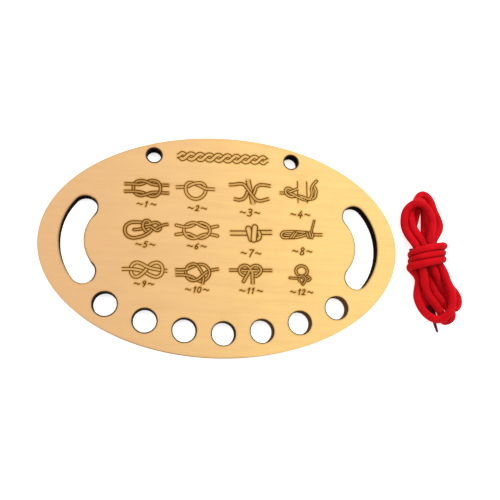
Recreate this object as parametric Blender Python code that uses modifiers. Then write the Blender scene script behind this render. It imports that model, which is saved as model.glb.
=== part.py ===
"""Knot tying board: an oval plywood plate with practice holes, two hand slots and a hanked cord.

The plate lies flat, its engraved face up. X runs along the oval, Y towards its upper edge, and the
origin is the middle of the back face. The cord lies beside the plate at +X, on the same surface.
"""
import math
from collections import namedtuple

import bmesh
import bpy
import numpy as np
from mathutils import Matrix, Vector

# Plate, in metres: an oval cut from seven-ply birch sheet
BOARD_LENGTH = 0.300
BOARD_WIDTH = 0.1875
PLY_COUNT = 7
PLY_THICKNESS = 0.00103
GLUE_LINE = 0.0003
OUTLINE_POINTS = 96

# Row of large practice holes along the lower edge, on a shallow arc
HOLE_RADIUS = 0.0095
HOLE_PITCH = 0.0318
HOLE_ROW_RADIUS = 0.2125
HOLE_EDGE = 0.0102
HOLE_WEB = 0.0045
HOLE_POINTS = 24

# Two small hanging holes beside the title, near the upper edge
HANG_RADIUS = 0.006
HANG_SPREAD = 0.0589
HANG_EDGE = 0.0047
HANG_POINTS = 20

# Two curved hand slots, one at each end
SLOT_RADIUS = 0.0412
SLOT_WIDTH = 0.0195
SLOT_HALF_ANGLE = 40.6
SLOT_RIM = 0.01665
SLOT_LIFT = 0.0014
SLOT_ARC_POINTS = 12
SLOT_END_POINTS = 8

# Cord: one length of round braid with a fused tip at each end
CORD_DIAMETER = 0.0065
STRAND_GAP = 0.0006
TIP_LENGTH = 0.0125
TIP_ROOT_RADIUS = 0.0030
TIP_NECK_RADIUS = 0.0016
TIP_NECK_AT = 0.0040
TIP_POINT_RADIUS = 0.0008
TIP_STEPS = 16
SEAT_GAP = 0.0003

# Hank: where it lies, how it is wound, and the points that each loop gets
HANK_GAP = 0.028
HANK_DROP = 0.0045
HANK_TURN = 7.0
WAIST_HALF = 0.010
WAIST_CENTRE = -0.0008
WRAP_TURNS = 2.64
WRAP_MIDDLE = 1.25
WRAP_HALF_WIDTH = 0.0122
WRAP_RISE = 0.0071
WRAP_SHIFT = 0.42
WRAP_LEAN = 0.09
WRAP_SQUARENESS = 2.7
WRAP_CENTRE_ACROSS = -0.0018
WRAP_CENTRE_ALONG = -0.0022
WRAP_STATIONS = 24
POINTS_PER_LOOP = 24

# Settling: strands are pushed apart until each clears the next
SETTLE_STEP = 0.0025
SETTLE_ROUNDS = 420
CHORD_ROUNDS = 240
CHORD_PROBES = 5
EASING_SHARE = 0.6
EASING_PULL = 0.01
SETTLE_SINK = 0.00005
PAIR_MARGIN = 0.002
PAIR_REFRESH = 6
NEIGHBOUR_DIAMETERS = 2.4

# One bight of the hank: its shoulder and crown along the hank, its sides across it, how far each
# leg bellies out, and the layer of its left side, crown and right side
Bight = namedtuple("Bight", "shoulder crown left right belly_left belly_right layers")
UPPER_BIGHTS = (
    Bight(0.042, 0.0575, 0.0005, 0.0190, 0.0, 0.005, (0, 0, 0)),
    Bight(0.037, 0.0483, -0.0095, 0.0076, 0.001, -0.001, (1, 1, 0)),
    Bight(0.030, 0.0470, -0.0165, 0.0135, 0.0, 0.0, (1.3, 2, 1)),
)
LOWER_BIGHTS = (
    Bight(-0.038, -0.0490, 0.0082, 0.0235, 0.0, 0.0, (0, 0, 0)),
    Bight(-0.050, -0.0575, 0.0040, 0.0165, 0.0005, 0.0, (0, 0, 0.6)),
    Bight(-0.035, -0.0555, -0.0130, 0.0157, 0.0, 0.0, (1, 1, 1.6)),
)

# One strand's place in the waist: across the hank at its upper and lower mouth, and its layer
Lane = namedtuple("Lane", "upper lower layer")
CLIMBING_LANES = (Lane(-0.007, -0.007, 1), Lane(-0.004, 0.002, 2), Lane(-0.012, -0.005, 2))
FALLING_LANES = (Lane(0.008, 0.008, 1), Lane(0.0012, 0.002, 1), Lane(0.0055, 0.009, 2))

# The free ends: the tail that shows below the hank, and the end tucked under its waist
TAIL_ALONG = (-0.0675, -0.0550, -0.0390, -0.0250)
TAIL_ACROSS = (0.0011, 0.0003, -0.0018, -0.0040)
TAIL_LAYERS = (0, 0, 0, 0.2)
TURN_IN_ALONG = -0.0215
TURN_IN_ACROSS = -0.0105
TURN_IN_LAYER = 1.5
TUCK_ALONG = 0.0082
TUCK_ACROSS = (0.0045, -0.0040, -0.0125)

BIRCH_FACE = (0.83, 0.60, 0.34)
BIRCH_CORE = (0.62, 0.42, 0.22)
CORD_RED = (0.75, 0.012, 0.022)
TIP_MAROON = (0.10, 0.008, 0.014)


def clear_scene():
    """Remove whatever the scene holds."""
    for old in list(bpy.data.objects):
        bpy.data.objects.remove(old, do_unlink=True)


def make_material(name, colour, roughness, metallic=0.0):
    """A Principled material in one colour."""
    material = bpy.data.materials.new(name)
    material.use_nodes = True
    shader = material.node_tree.nodes["Principled BSDF"]
    shader.inputs["Base Color"].default_value = (*colour, 1.0)
    shader.inputs["Roughness"].default_value = roughness
    shader.inputs["Metallic"].default_value = metallic
    material.diffuse_color = (*colour, 1.0)
    return material


def make_empty(name, collection, location, turn=0.0):
    """An empty that carries the pieces of one sub-assembly."""
    empty = bpy.data.objects.new(name, None)
    empty.location = location
    empty.rotation_euler = (0.0, 0.0, turn)
    collection.objects.link(empty)
    return empty


# Plate outline and cut-outs
def ring(centre, radius_x, radius_y, count):
    """Points round an ellipse, anticlockwise from +X."""
    angles = [math.tau * k / count for k in range(count)]
    return [(centre[0] + radius_x * math.cos(a), centre[1] + radius_y * math.sin(a)) for a in angles]


def rim_height(x):
    """Half width of the oval at one place along it."""
    share = min(abs(x) / (BOARD_LENGTH / 2), 1.0)
    return BOARD_WIDTH / 2 * math.sqrt(1.0 - share * share)


def slot_centre(side):
    """Centre of the arc that one hand slot follows."""
    reach = BOARD_LENGTH / 2 - SLOT_RIM - SLOT_WIDTH / 2 - SLOT_RADIUS
    return side * reach, SLOT_LIFT


def slot_point(side, radius, angle):
    """A point at a radius and angle from the slot's centre, mirrored for the left end."""
    cx, cy = slot_centre(side)
    return cx + side * radius * math.cos(angle), cy + radius * math.sin(angle)


def slot_outline(side):
    """Closed outline of one hand slot: two arcs joined by round ends."""
    half = math.radians(SLOT_HALF_ANGLE)
    outer = SLOT_RADIUS + SLOT_WIDTH / 2
    inner = SLOT_RADIUS - SLOT_WIDTH / 2
    sweep = [-half + 2 * half * k / SLOT_ARC_POINTS for k in range(SLOT_ARC_POINTS + 1)]
    points = [slot_point(side, outer, angle) for angle in sweep]
    points += slot_end(side, half, half)
    points += [slot_point(side, inner, angle) for angle in reversed(sweep)]
    points += slot_end(side, -half, math.pi - half)
    return points


def slot_end(side, angle, first_bearing):
    """Points of one round end, half a turn on from the bearing where the long arc stops."""
    cx, cy = slot_point(side, SLOT_RADIUS, angle)
    points = []
    for k in range(1, SLOT_END_POINTS):
        bearing = first_bearing + math.pi * k / SLOT_END_POINTS
        across, up = math.cos(bearing), math.sin(bearing)
        points.append((cx + side * SLOT_WIDTH / 2 * across, cy + SLOT_WIDTH / 2 * up))
    return points


def hole_row():
    """Centres of the practice holes, as many as the plate has room for."""
    lowest = -(BOARD_WIDTH / 2 - HOLE_EDGE - HOLE_RADIUS)
    end_x, end_y = slot_point(1, SLOT_RADIUS, -math.radians(SLOT_HALF_ANGLE))
    centres = [(0.0, lowest)]
    x = HOLE_PITCH
    while x < HOLE_ROW_RADIUS:
        y = lowest + HOLE_ROW_RADIUS - math.sqrt(HOLE_ROW_RADIUS ** 2 - x ** 2)
        slot_room = math.hypot(x - end_x, y - end_y) - SLOT_WIDTH / 2 - HOLE_RADIUS
        rim_room = rim_height(x) - abs(y) - HOLE_RADIUS
        if min(slot_room, rim_room) < HOLE_WEB:
            break
        centres += [(x, y), (-x, y)]
        x += HOLE_PITCH
    return centres


def hang_holes():
    """Centres of the two hanging holes, a set margin below the rim."""
    height = rim_height(HANG_SPREAD) - HANG_EDGE - HANG_RADIUS
    return [(-HANG_SPREAD, height), (HANG_SPREAD, height)]


def ply_outlines():
    """The oval and every cut-out, as closed outlines in one plane."""
    outlines = [ring((0.0, 0.0), BOARD_LENGTH / 2, BOARD_WIDTH / 2, OUTLINE_POINTS)]
    outlines += [ring(centre, HOLE_RADIUS, HOLE_RADIUS, HOLE_POINTS) for centre in hole_row()]
    outlines += [ring(centre, HANG_RADIUS, HANG_RADIUS, HANG_POINTS) for centre in hang_holes()]
    outlines += [slot_outline(side) for side in (-1, 1)]
    return outlines


def make_ply(name, level, material, collection, parent):
    """One veneer: the outlines as a filled 2D curve, extruded by half its thickness each way."""
    curve = bpy.data.curves.new(name, "CURVE")
    curve.dimensions = "2D"
    curve.fill_mode = "BOTH"
    curve.extrude = PLY_THICKNESS / 2
    for outline in ply_outlines():
        spline = curve.splines.new("POLY")
        spline.points.add(len(outline) - 1)
        for point, (x, y) in zip(spline.points, outline):
            point.co = (x, y, 0.0, 1.0)
        spline.use_cyclic_u = True
    curve.materials.append(material)
    ply = bpy.data.objects.new(name, curve)
    ply.location = (0.0, 0.0, level * (PLY_THICKNESS + GLUE_LINE) + PLY_THICKNESS / 2)
    ply.parent = parent
    collection.objects.link(ply)
    return ply


def ply_names():
    """Names from the back up: the two outer veneers, the middle core and the plies between."""
    names = []
    for level in range(PLY_COUNT):
        if level == 0:
            names.append("back_veneer")
        elif level == PLY_COUNT - 1:
            names.append("face_veneer")
        elif level == PLY_COUNT // 2:
            names.append("centre_core")
        else:
            half = "lower" if level < PLY_COUNT // 2 else "upper"
            grain = "crossband" if level % 2 else "longband"
            names.append(f"{half}_{grain}")
    return names


# Hank: the route of the cord's centre line, in the hank's own frame (X across, Y along, Z up)
def layer_height(layer):
    """Height of a strand's centre line in one layer of the hank."""
    return CORD_DIAMETER / 2 + layer * (CORD_DIAMETER + STRAND_GAP)


def crown(bight, rising):
    """Half an ellipse over the end of one bight, from the side that the cord comes up."""
    middle = (bight.left + bight.right) / 2
    half = (bight.right - bight.left) / 2
    points = []
    for k in range(5):
        angle = math.pi - k * math.pi / 4 if rising else k * math.pi / 4
        layer = np.interp(math.cos(angle), (-1, 0, 1), bight.layers)
        along = bight.shoulder + (bight.crown - bight.shoulder) * math.sin(angle)
        points.append((middle + half * math.cos(angle), along, layer_height(layer)))
    return points


def leg(lane, bight, right_side):
    """From the mouth of the waist outwards: the lane's place there and the middle of the leg."""
    upper = bight.shoulder > 0
    mouth = WAIST_HALF if upper else -WAIST_HALF
    across = WAIST_CENTRE + (lane.upper if upper else lane.lower)
    side = bight.right if right_side else bight.left
    belly = bight.belly_right if right_side else bight.belly_left
    outer = layer_height(bight.layers[2] if right_side else bight.layers[0])
    inner = layer_height(lane.layer)
    middle = (0.45 * across + 0.55 * side + belly, (mouth + bight.shoulder) / 2, 0.6 * outer + 0.4 * inner)
    return [(across, mouth, inner), middle]


def wraps():
    """Turns round the waist: a squared ellipse that climbs along the hank."""
    half_height = 1.5 * (CORD_DIAMETER + STRAND_GAP)
    middle = CORD_DIAMETER / 2 + half_height
    power = 2 / WRAP_SQUARENESS
    points = []
    for k in range(int(WRAP_TURNS * WRAP_STATIONS) + 1):
        angle = math.pi - math.tau * k / WRAP_STATIONS
        cosine, sine = math.cos(angle), math.sin(angle)
        rise = WRAP_RISE * (k / WRAP_STATIONS - WRAP_MIDDLE)
        across = math.copysign(abs(cosine) ** power, cosine) * WRAP_HALF_WIDTH
        points.append((
            WRAP_CENTRE_ACROSS + WRAP_SHIFT * rise + across,
            WRAP_CENTRE_ALONG + rise - WRAP_LEAN * WRAP_HALF_WIDTH * cosine,
            middle + math.copysign(abs(sine) ** power, sine) * half_height,
        ))
    return points


def hank_stations():
    """The whole route: tail, bights above and below in turn, the wraps and the tucked end."""
    tail = zip(TAIL_ACROSS, TAIL_ALONG, TAIL_LAYERS)
    points = [(across, along, layer_height(layer)) for across, along, layer in tail]
    first = CLIMBING_LANES[0]
    points.append((WAIST_CENTRE + first.lower, -WAIST_HALF, layer_height(first.layer)))
    for k, (upper, lower) in enumerate(zip(UPPER_BIGHTS, LOWER_BIGHTS)):
        points += leg(CLIMBING_LANES[k], upper, False) + crown(upper, True)
        points += leg(FALLING_LANES[k], upper, True)[::-1]
        points += leg(FALLING_LANES[k], lower, True) + crown(lower, False)
        if k < len(LOWER_BIGHTS) - 1:
            points += leg(CLIMBING_LANES[k + 1], lower, False)[::-1]
    points.append((TURN_IN_ACROSS, TURN_IN_ALONG, layer_height(TURN_IN_LAYER)))
    points += wraps()
    return points + [(across, TUCK_ALONG, layer_height(0)) for across in TUCK_ACROSS]


def smooth_curve(points, per_span=8):
    """A smooth curve through the stations, with centripetal spacing."""
    knots = np.asarray(points, float)
    knots = np.vstack([2 * knots[0] - knots[1], knots, 2 * knots[-1] - knots[-2]])
    curve = []
    for p0, p1, p2, p3 in zip(knots, knots[1:], knots[2:], knots[3:]):
        t1 = np.linalg.norm(p1 - p0) ** 0.5
        t2 = t1 + np.linalg.norm(p2 - p1) ** 0.5
        t3 = t2 + np.linalg.norm(p3 - p2) ** 0.5
        for t in np.linspace(t1, t2, per_span, endpoint=False):
            a1 = p0 + (p1 - p0) * t / t1
            a2 = p1 + (p2 - p1) * (t - t1) / (t2 - t1)
            a3 = p2 + (p3 - p2) * (t - t2) / (t3 - t2)
            b1 = a1 + (a2 - a1) * t / t2
            b2 = a2 + (a3 - a2) * (t - t1) / (t3 - t1)
            curve.append(b1 + (b2 - b1) * (t - t1) / (t2 - t1))
    curve.append(knots[-2])
    return np.array(curve)


def run_lengths(points):
    """Distance along the route at each point."""
    return np.concatenate(([0.0], np.cumsum(np.linalg.norm(np.diff(points, axis=0), axis=1))))


def at_distances(points, distances):
    """Points at the given distances along the route."""
    run = run_lengths(points)
    return np.stack([np.interp(distances, run, points[:, axis]) for axis in range(3)], axis=1)


def evenly(points, step):
    """The route with even spacing."""
    total = run_lengths(points)[-1]
    return at_distances(points, np.linspace(0.0, total, int(total / step) + 1))


def close_pairs(probes, reach):
    """Pairs of places on different strands that lie nearer than the reach."""
    run = run_lengths(probes)
    apart = np.linalg.norm(probes[:, None] - probes[None], axis=2)
    along = run[None] - run[:, None]
    return np.nonzero((apart < reach) & (along > NEIGHBOUR_DIAMETERS * CORD_DIAMETER))


def settle(points, rounds, probes_per_span=1, easing=0.0):
    """Push the strands apart until they clear, easing the shape back and down at first."""
    rest = points.copy()
    needed = CORD_DIAMETER + STRAND_GAP
    span = np.append(np.repeat(np.arange(len(points) - 1), probes_per_span), len(points) - 2)
    share = np.append(np.tile(np.arange(probes_per_span) / probes_per_span, len(points) - 1), 1.0)
    for k in range(rounds):
        slack = max(0.0, 1.0 - k / (EASING_SHARE * rounds)) * easing
        if slack > 0:
            move = points - rest
            move[1:-1] = move[1:-1] * 0.5 + (move[:-2] + move[2:]) * 0.25
            points = rest + move * (1 - EASING_PULL * slack)
            points[:, 2] -= SETTLE_SINK * slack
        probes = points[span] + (points[span + 1] - points[span]) * share[:, None]
        if k % PAIR_REFRESH == 0:
            first, second = close_pairs(probes, needed + PAIR_MARGIN)
        away = probes[first] - probes[second]
        apart = np.linalg.norm(away, axis=1)
        push = np.clip(needed - apart, 0, None) / apart / 2
        total = np.zeros_like(points)
        count = np.zeros(len(points))
        for probe, sign in ((first, 1.0), (second, -1.0)):
            for vertex, part in ((span[probe], 1 - share[probe]), (span[probe] + 1, share[probe])):
                np.add.at(total, vertex, away * (sign * push * part)[:, None])
                np.add.at(count, vertex, (push > 0) * part)
        points = points + total / np.sqrt(np.maximum(count, 1.0))[:, None]
        points[:, 2] = np.maximum(points[:, 2], CORD_DIAMETER / 2)
    return points


def thinned(points, count):
    """A set number of points, closest together where the cord bends most."""
    run = run_lengths(points)
    steps = np.diff(points, axis=0)
    steps /= np.linalg.norm(steps, axis=1)[:, None]
    turn = np.zeros(len(points))
    turn[1:-1] = np.arccos(np.clip((steps[1:] * steps[:-1]).sum(axis=1), -1, 1))
    bend = (turn[1:] + turn[:-1]) / 2
    weight = np.concatenate(([0.0], np.cumsum(np.diff(run) / (3.4 * CORD_DIAMETER) + bend / 0.35)))
    marks = np.linspace(0, weight[-1], count)
    return at_distances(points, np.interp(marks, weight, run))


def straight_end(points):
    """Leave room for the tip at the route's end, and run the cord straight for one diameter."""
    run = run_lengths(points)
    cut = run[-1] - TIP_LENGTH - SEAT_GAP - CORD_DIAMETER
    base = at_distances(points, [cut])[0]
    way = points[-1] - base
    way /= np.linalg.norm(way)
    body = points[run < cut - CORD_DIAMETER / 4]
    return np.vstack([body, base, base + way * CORD_DIAMETER]), way


def least_gap(points, step=0.001):
    """Least clear distance from the tube to itself, between parts that aren't neighbours."""
    fine = evenly(points, step)
    run = run_lengths(fine)
    apart = np.linalg.norm(fine[:, None] - fine[None], axis=2)
    other = (run[None] - run[:, None]) > NEIGHBOUR_DIAMETERS * CORD_DIAMETER
    return apart[other].min() - CORD_DIAMETER


def cord_route():
    """Centre line of the cord and the way that each end faces."""
    route = settle(evenly(smooth_curve(hank_stations()), SETTLE_STEP), SETTLE_ROUNDS, easing=1.0)
    turns = len(UPPER_BIGHTS) + WRAP_TURNS
    route = settle(thinned(route, int(POINTS_PER_LOOP * turns)), CHORD_ROUNDS, CHORD_PROBES)
    route, tuck_way = straight_end(route)
    route, tail_way = straight_end(route[::-1])
    return route[::-1], tail_way, tuck_way


def make_cord(route, material, collection, parent):
    """The hank as one unbroken tube."""
    curve = bpy.data.curves.new("cord_hank", "CURVE")
    curve.dimensions = "3D"
    curve.bevel_depth = CORD_DIAMETER / 2
    curve.bevel_resolution = 1
    curve.use_fill_caps = True
    spline = curve.splines.new("POLY")
    spline.points.add(len(route) - 1)
    for point, place in zip(spline.points, route):
        point.co = (*place, 1.0)
    curve.materials.append(material)
    cord = bpy.data.objects.new("cord_hank", curve)
    cord.parent = parent
    collection.objects.link(cord)
    return cord


def tip_profile():
    """Radius and height down the tip's outer side, from its point to its root."""
    rounding = TIP_POINT_RADIUS / 2
    return (
        (0.0, TIP_LENGTH),
        (TIP_POINT_RADIUS - rounding / 2, TIP_LENGTH - rounding / 2),
        (TIP_POINT_RADIUS, TIP_LENGTH - rounding * 2),
        (TIP_NECK_RADIUS, TIP_NECK_AT),
        ((TIP_ROOT_RADIUS + TIP_NECK_RADIUS) / 2, TIP_NECK_AT / 2),
        (TIP_ROOT_RADIUS, 0.0),
        (0.0, 0.0),
    )


def make_tip(name, root, way, material, collection, parent):
    """A fused cord end: a turned profile, its axis along the way that the cord faces."""
    mesh = bpy.data.meshes.new(name)
    outline = bmesh.new()
    corners = [outline.verts.new((radius, 0.0, height)) for radius, height in tip_profile()]
    for first, second in zip(corners, corners[1:]):
        outline.edges.new((first, second))
    outline.to_mesh(mesh)
    outline.free()
    mesh.materials.append(material)
    tip = bpy.data.objects.new(name, mesh)
    turned = tip.modifiers.new("turned", "SCREW")
    turned.steps = TIP_STEPS
    turned.render_steps = TIP_STEPS
    turned.use_merge_vertices = True
    turned.merge_threshold = 0.00001
    axis = Vector(way)
    seat = Vector(root) + axis * SEAT_GAP
    tip.matrix_local = Matrix.Translation(seat) @ axis.to_track_quat("Z", "Y").to_matrix().to_4x4()
    tip.parent = parent
    collection.objects.link(tip)
    return tip


def build_board(collection):
    """The plate: veneers stacked from the back up, each a glue line above the last."""
    face = make_material("birch_face", BIRCH_FACE, 0.62)
    core = make_material("birch_core", BIRCH_CORE, 0.75)
    board = make_empty("board", collection, (0.0, 0.0, 0.0))
    for level, name in enumerate(ply_names()):
        make_ply(name, level, face if level % 2 == 0 else core, collection, board)


def build_hank(collection):
    """The cord beside the plate, with its two fused tips."""
    red = make_material("cord_red", CORD_RED, 0.7)
    maroon = make_material("tip_maroon", TIP_MAROON, 0.45)
    place = (BOARD_LENGTH / 2 + HANK_GAP, -HANK_DROP, 0.0)
    hank = make_empty("hank", collection, place, math.radians(HANK_TURN))
    route, tail_way, tuck_way = cord_route()
    make_cord(route, red, collection, hank)
    make_tip("cord_tip_tail", route[0], tail_way, maroon, collection, hank)
    make_tip("cord_tip_tucked", route[-1], tuck_way, maroon, collection, hank)
    print(f"cord_hank: {len(route)} points, {run_lengths(route)[-1] * 1000:.1f} mm long, "
          f"least gap to itself {least_gap(route) * 1000:.2f} mm")


def main():
    """Build the board and the cord in a collection named for the object."""
    clear_scene()
    collection = bpy.data.collections.new("knot_tying_board")
    bpy.context.scene.collection.children.link(collection)
    build_board(collection)
    build_hank(collection)
    bpy.context.view_layer.update()


main()
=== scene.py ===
"""Dress of the knot tying board: an engraved birch plate and the red cord that lies beside it."""
import logging
import math
from collections.abc import Iterable, Sequence
from dataclasses import dataclass, field
from enum import Enum

import bmesh
import bpy
import numpy as np
from mathutils import Matrix, Vector
from mathutils.geometry import delaunay_2d_cdt
from mathutils.kdtree import KDTree


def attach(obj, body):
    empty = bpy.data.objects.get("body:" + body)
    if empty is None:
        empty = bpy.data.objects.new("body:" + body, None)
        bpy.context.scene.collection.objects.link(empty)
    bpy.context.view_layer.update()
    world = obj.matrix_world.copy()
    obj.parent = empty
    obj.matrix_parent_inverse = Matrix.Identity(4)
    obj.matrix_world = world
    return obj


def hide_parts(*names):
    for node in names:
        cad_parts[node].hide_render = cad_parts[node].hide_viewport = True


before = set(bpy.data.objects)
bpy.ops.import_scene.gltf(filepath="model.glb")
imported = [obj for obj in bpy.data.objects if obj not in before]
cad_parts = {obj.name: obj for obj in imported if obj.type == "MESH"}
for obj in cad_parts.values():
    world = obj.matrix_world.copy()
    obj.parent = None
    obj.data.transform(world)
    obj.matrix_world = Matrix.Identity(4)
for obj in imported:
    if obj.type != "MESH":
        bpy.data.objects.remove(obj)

LOG = logging.getLogger("knot_board")
MM = 0.001
PLATE_LENGTH = 0.300
PLATE_WIDTH = 0.1875

# Squared share of the oval's size over which the holes and slots end and its outer cut begins
OVAL_EDGE = (0.955, 0.975)

# The colour sockets of a Mix node, whose names its number sockets have too
MIX_SHARE, MIX_FIRST, MIX_SECOND, MIX_RESULT = 0, 6, 7, 2

Colour = tuple[float, float, float]
Point2 = tuple[float, float]
Point3 = tuple[float, float, float]


# Shader arithmetic
class Recipe:
    """The node tree of one material."""

    def __init__(self, name: str) -> None:
        """Start an empty node tree.

        Args:
            name: Name of the material.
        """
        self.material = bpy.data.materials.new(name)
        self.material.use_nodes = True
        self.tree = self.material.node_tree
        self.tree.nodes.clear()

    def node(self, kind: str, settings: dict | None = None, sockets: dict | None = None) -> bpy.types.Node:
        """Make one node.

        Args:
            kind: The node's type name.
            settings: Properties of the node, set before its sockets.
            sockets: Input values or links by name or index.

        Returns:
            The new node.
        """
        made = self.tree.nodes.new(kind)
        for key, value in (settings or {}).items():
            setattr(made, key, value)
        for key, value in (sockets or {}).items():
            socket = made.inputs[key]
            if isinstance(value, Term):
                value = value.socket
            if isinstance(value, bpy.types.NodeSocket):
                self.tree.links.new(value, socket)
            elif isinstance(value, tuple) and socket.type == "RGBA":
                socket.default_value = (*value, 1.0)
            else:
                socket.default_value = value
        return made

    def term(self, node: bpy.types.Node, output: int | str = 0) -> "Term":
        """Wrap one output of a node for arithmetic."""
        return Term(self, node.outputs[output])

    def place(self, scale: Point3 = (1.0, 1.0, 1.0), shift: Point3 = (0.0, 0.0, 0.0),
              turn: float = 0.0) -> bpy.types.NodeSocket:
        """Object coordinates, turned about the upright, stretched and moved.

        Args:
            scale: Factor along each axis.
            shift: Offset along each axis.
            turn: Angle about the upright in radians.

        Returns:
            The socket of the changed coordinates.
        """
        source = self.node("ShaderNodeTexCoord").outputs["Object"]
        if turn:
            source = self.node("ShaderNodeMapping", {}, {
                "Vector": source, "Rotation": (0.0, 0.0, turn)}).outputs[0]
        return self.node("ShaderNodeMapping", {}, {
            "Vector": source, "Scale": scale, "Location": shift}).outputs[0]

    def axes(self, socket: bpy.types.NodeSocket) -> tuple["Term", "Term", "Term"]:
        """Split a vector into its three numbers."""
        split = self.node("ShaderNodeSeparateXYZ", {}, {0: socket})
        return self.term(split, 0), self.term(split, 1), self.term(split, 2)

    def noise(self, stretch: Point3 | float, detail: float = 2.0, rough: float = 0.5,
              shift: Point3 = (0.0, 0.0, 0.0), turn: float = 0.0) -> "Term":
        """Smooth noise over the object, between 0 and 1 and seldom near either end.

        Args:
            stretch: How fine it is along each axis, or one number for all three.
            detail: How many finer layers it has.
            rough: How strong the finer layers are.
            shift: Offset along each axis.
            turn: Angle about the upright in radians.

        Returns:
            The noise.
        """
        scale = stretch if isinstance(stretch, tuple) else (stretch,) * 3
        return self.term(self.node("ShaderNodeTexNoise", {"noise_dimensions": "3D"}, {
            "Vector": self.place(scale, shift, turn), "Scale": 1.0, "Detail": detail, "Roughness": rough}))

    def attribute(self, name: str) -> "Term":
        """A number stored on the mesh's vertices."""
        return self.term(self.node("ShaderNodeAttribute", {
            "attribute_type": "GEOMETRY", "attribute_name": name}), "Fac")

    def step(self, value: "Term", low: float, high: float) -> "Term":
        """0 below the low value, 1 above the high one and a smooth rise between."""
        return self.term(self.node("ShaderNodeMapRange", {"interpolation_type": "SMOOTHSTEP"}, {
            "Value": value, "From Min": low, "From Max": high, "To Min": 0.0, "To Max": 1.0}))

    def mix(self, share: "Term | float", first: object, second: object) -> bpy.types.NodeSocket:
        """Mix two colours.

        Args:
            share: How much of the second colour.
            first: A colour or a colour socket.
            second: A colour or a colour socket.

        Returns:
            The mixed colour's socket.
        """
        return self.node("ShaderNodeMix", {"data_type": "RGBA", "clamp_factor": True}, {
            MIX_SHARE: share, MIX_FIRST: first, MIX_SECOND: second}).outputs[MIX_RESULT]

    def bump(self, height: "Term", depth: float, strength: float) -> bpy.types.NodeSocket:
        """A normal from a height between 0 and 1, with its full depth in metres."""
        return self.node("ShaderNodeBump", {}, {
            "Height": height, "Distance": depth, "Strength": strength}).outputs["Normal"]

    def finish(self, shader: dict) -> bpy.types.Material:
        """Close the tree with a Principled shader.

        Args:
            shader: Input values or links of the shader.

        Returns:
            The material.
        """
        principled = self.node("ShaderNodeBsdfPrincipled", {}, shader)
        self.node("ShaderNodeOutputMaterial", {}, {"Surface": principled.outputs[0]})
        return self.material


class Term:
    """A number socket that takes part in Python arithmetic."""

    def __init__(self, recipe: Recipe, socket: bpy.types.NodeSocket) -> None:
        """Wrap a socket.

        Args:
            recipe: The tree that the socket belongs to.
            socket: The output socket.
        """
        self.recipe = recipe
        self.socket = socket

    def join(self, operation: str, *values: "Term | float") -> "Term":
        """Add a Math node over these values."""
        return self.recipe.term(self.recipe.node(
            "ShaderNodeMath", {"operation": operation}, dict(enumerate(values))))

    def __add__(self, other: "Term | float") -> "Term":
        """Sum."""
        return self.join("ADD", self, other)

    __radd__ = __add__

    def __sub__(self, other: "Term | float") -> "Term":
        """Difference."""
        return self.join("SUBTRACT", self, other)

    def __rsub__(self, other: float) -> "Term":
        """Difference from a plain number."""
        return self.join("SUBTRACT", other, self)

    def __mul__(self, other: "Term | float") -> "Term":
        """Product."""
        return self.join("MULTIPLY", self, other)

    __rmul__ = __mul__

    def __truediv__(self, other: "Term | float") -> "Term":
        """Quotient."""
        return self.join("DIVIDE", self, other)

    def __pow__(self, power: float) -> "Term":
        """Power."""
        return self.join("POWER", self, power)

    def floor(self) -> "Term":
        """Next whole number down."""
        return self.join("FLOOR", self)

    def fraction(self) -> "Term":
        """What is left above the next whole number down."""
        return self.join("FRACT", self)

    def sine(self) -> "Term":
        """Sine of the value in radians."""
        return self.join("SINE", self)

    def size(self) -> "Term":
        """Absolute value."""
        return self.join("ABSOLUTE", self)

    def above(self, level: float) -> "Term":
        """1 where the value is above the level and 0 elsewhere."""
        return self.join("GREATER_THAN", self, level)


# Finishes
def inner_cut(r: Recipe, x: Term, y: Term) -> Term:
    """1 at the holes and slots, 0 along the oval's outer edge."""
    outwards = (x / (PLATE_LENGTH / 2)) ** 2.0 + (y / (PLATE_WIDTH / 2)) ** 2.0
    return 1.0 - r.step(outwards, *OVAL_EDGE)


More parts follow.
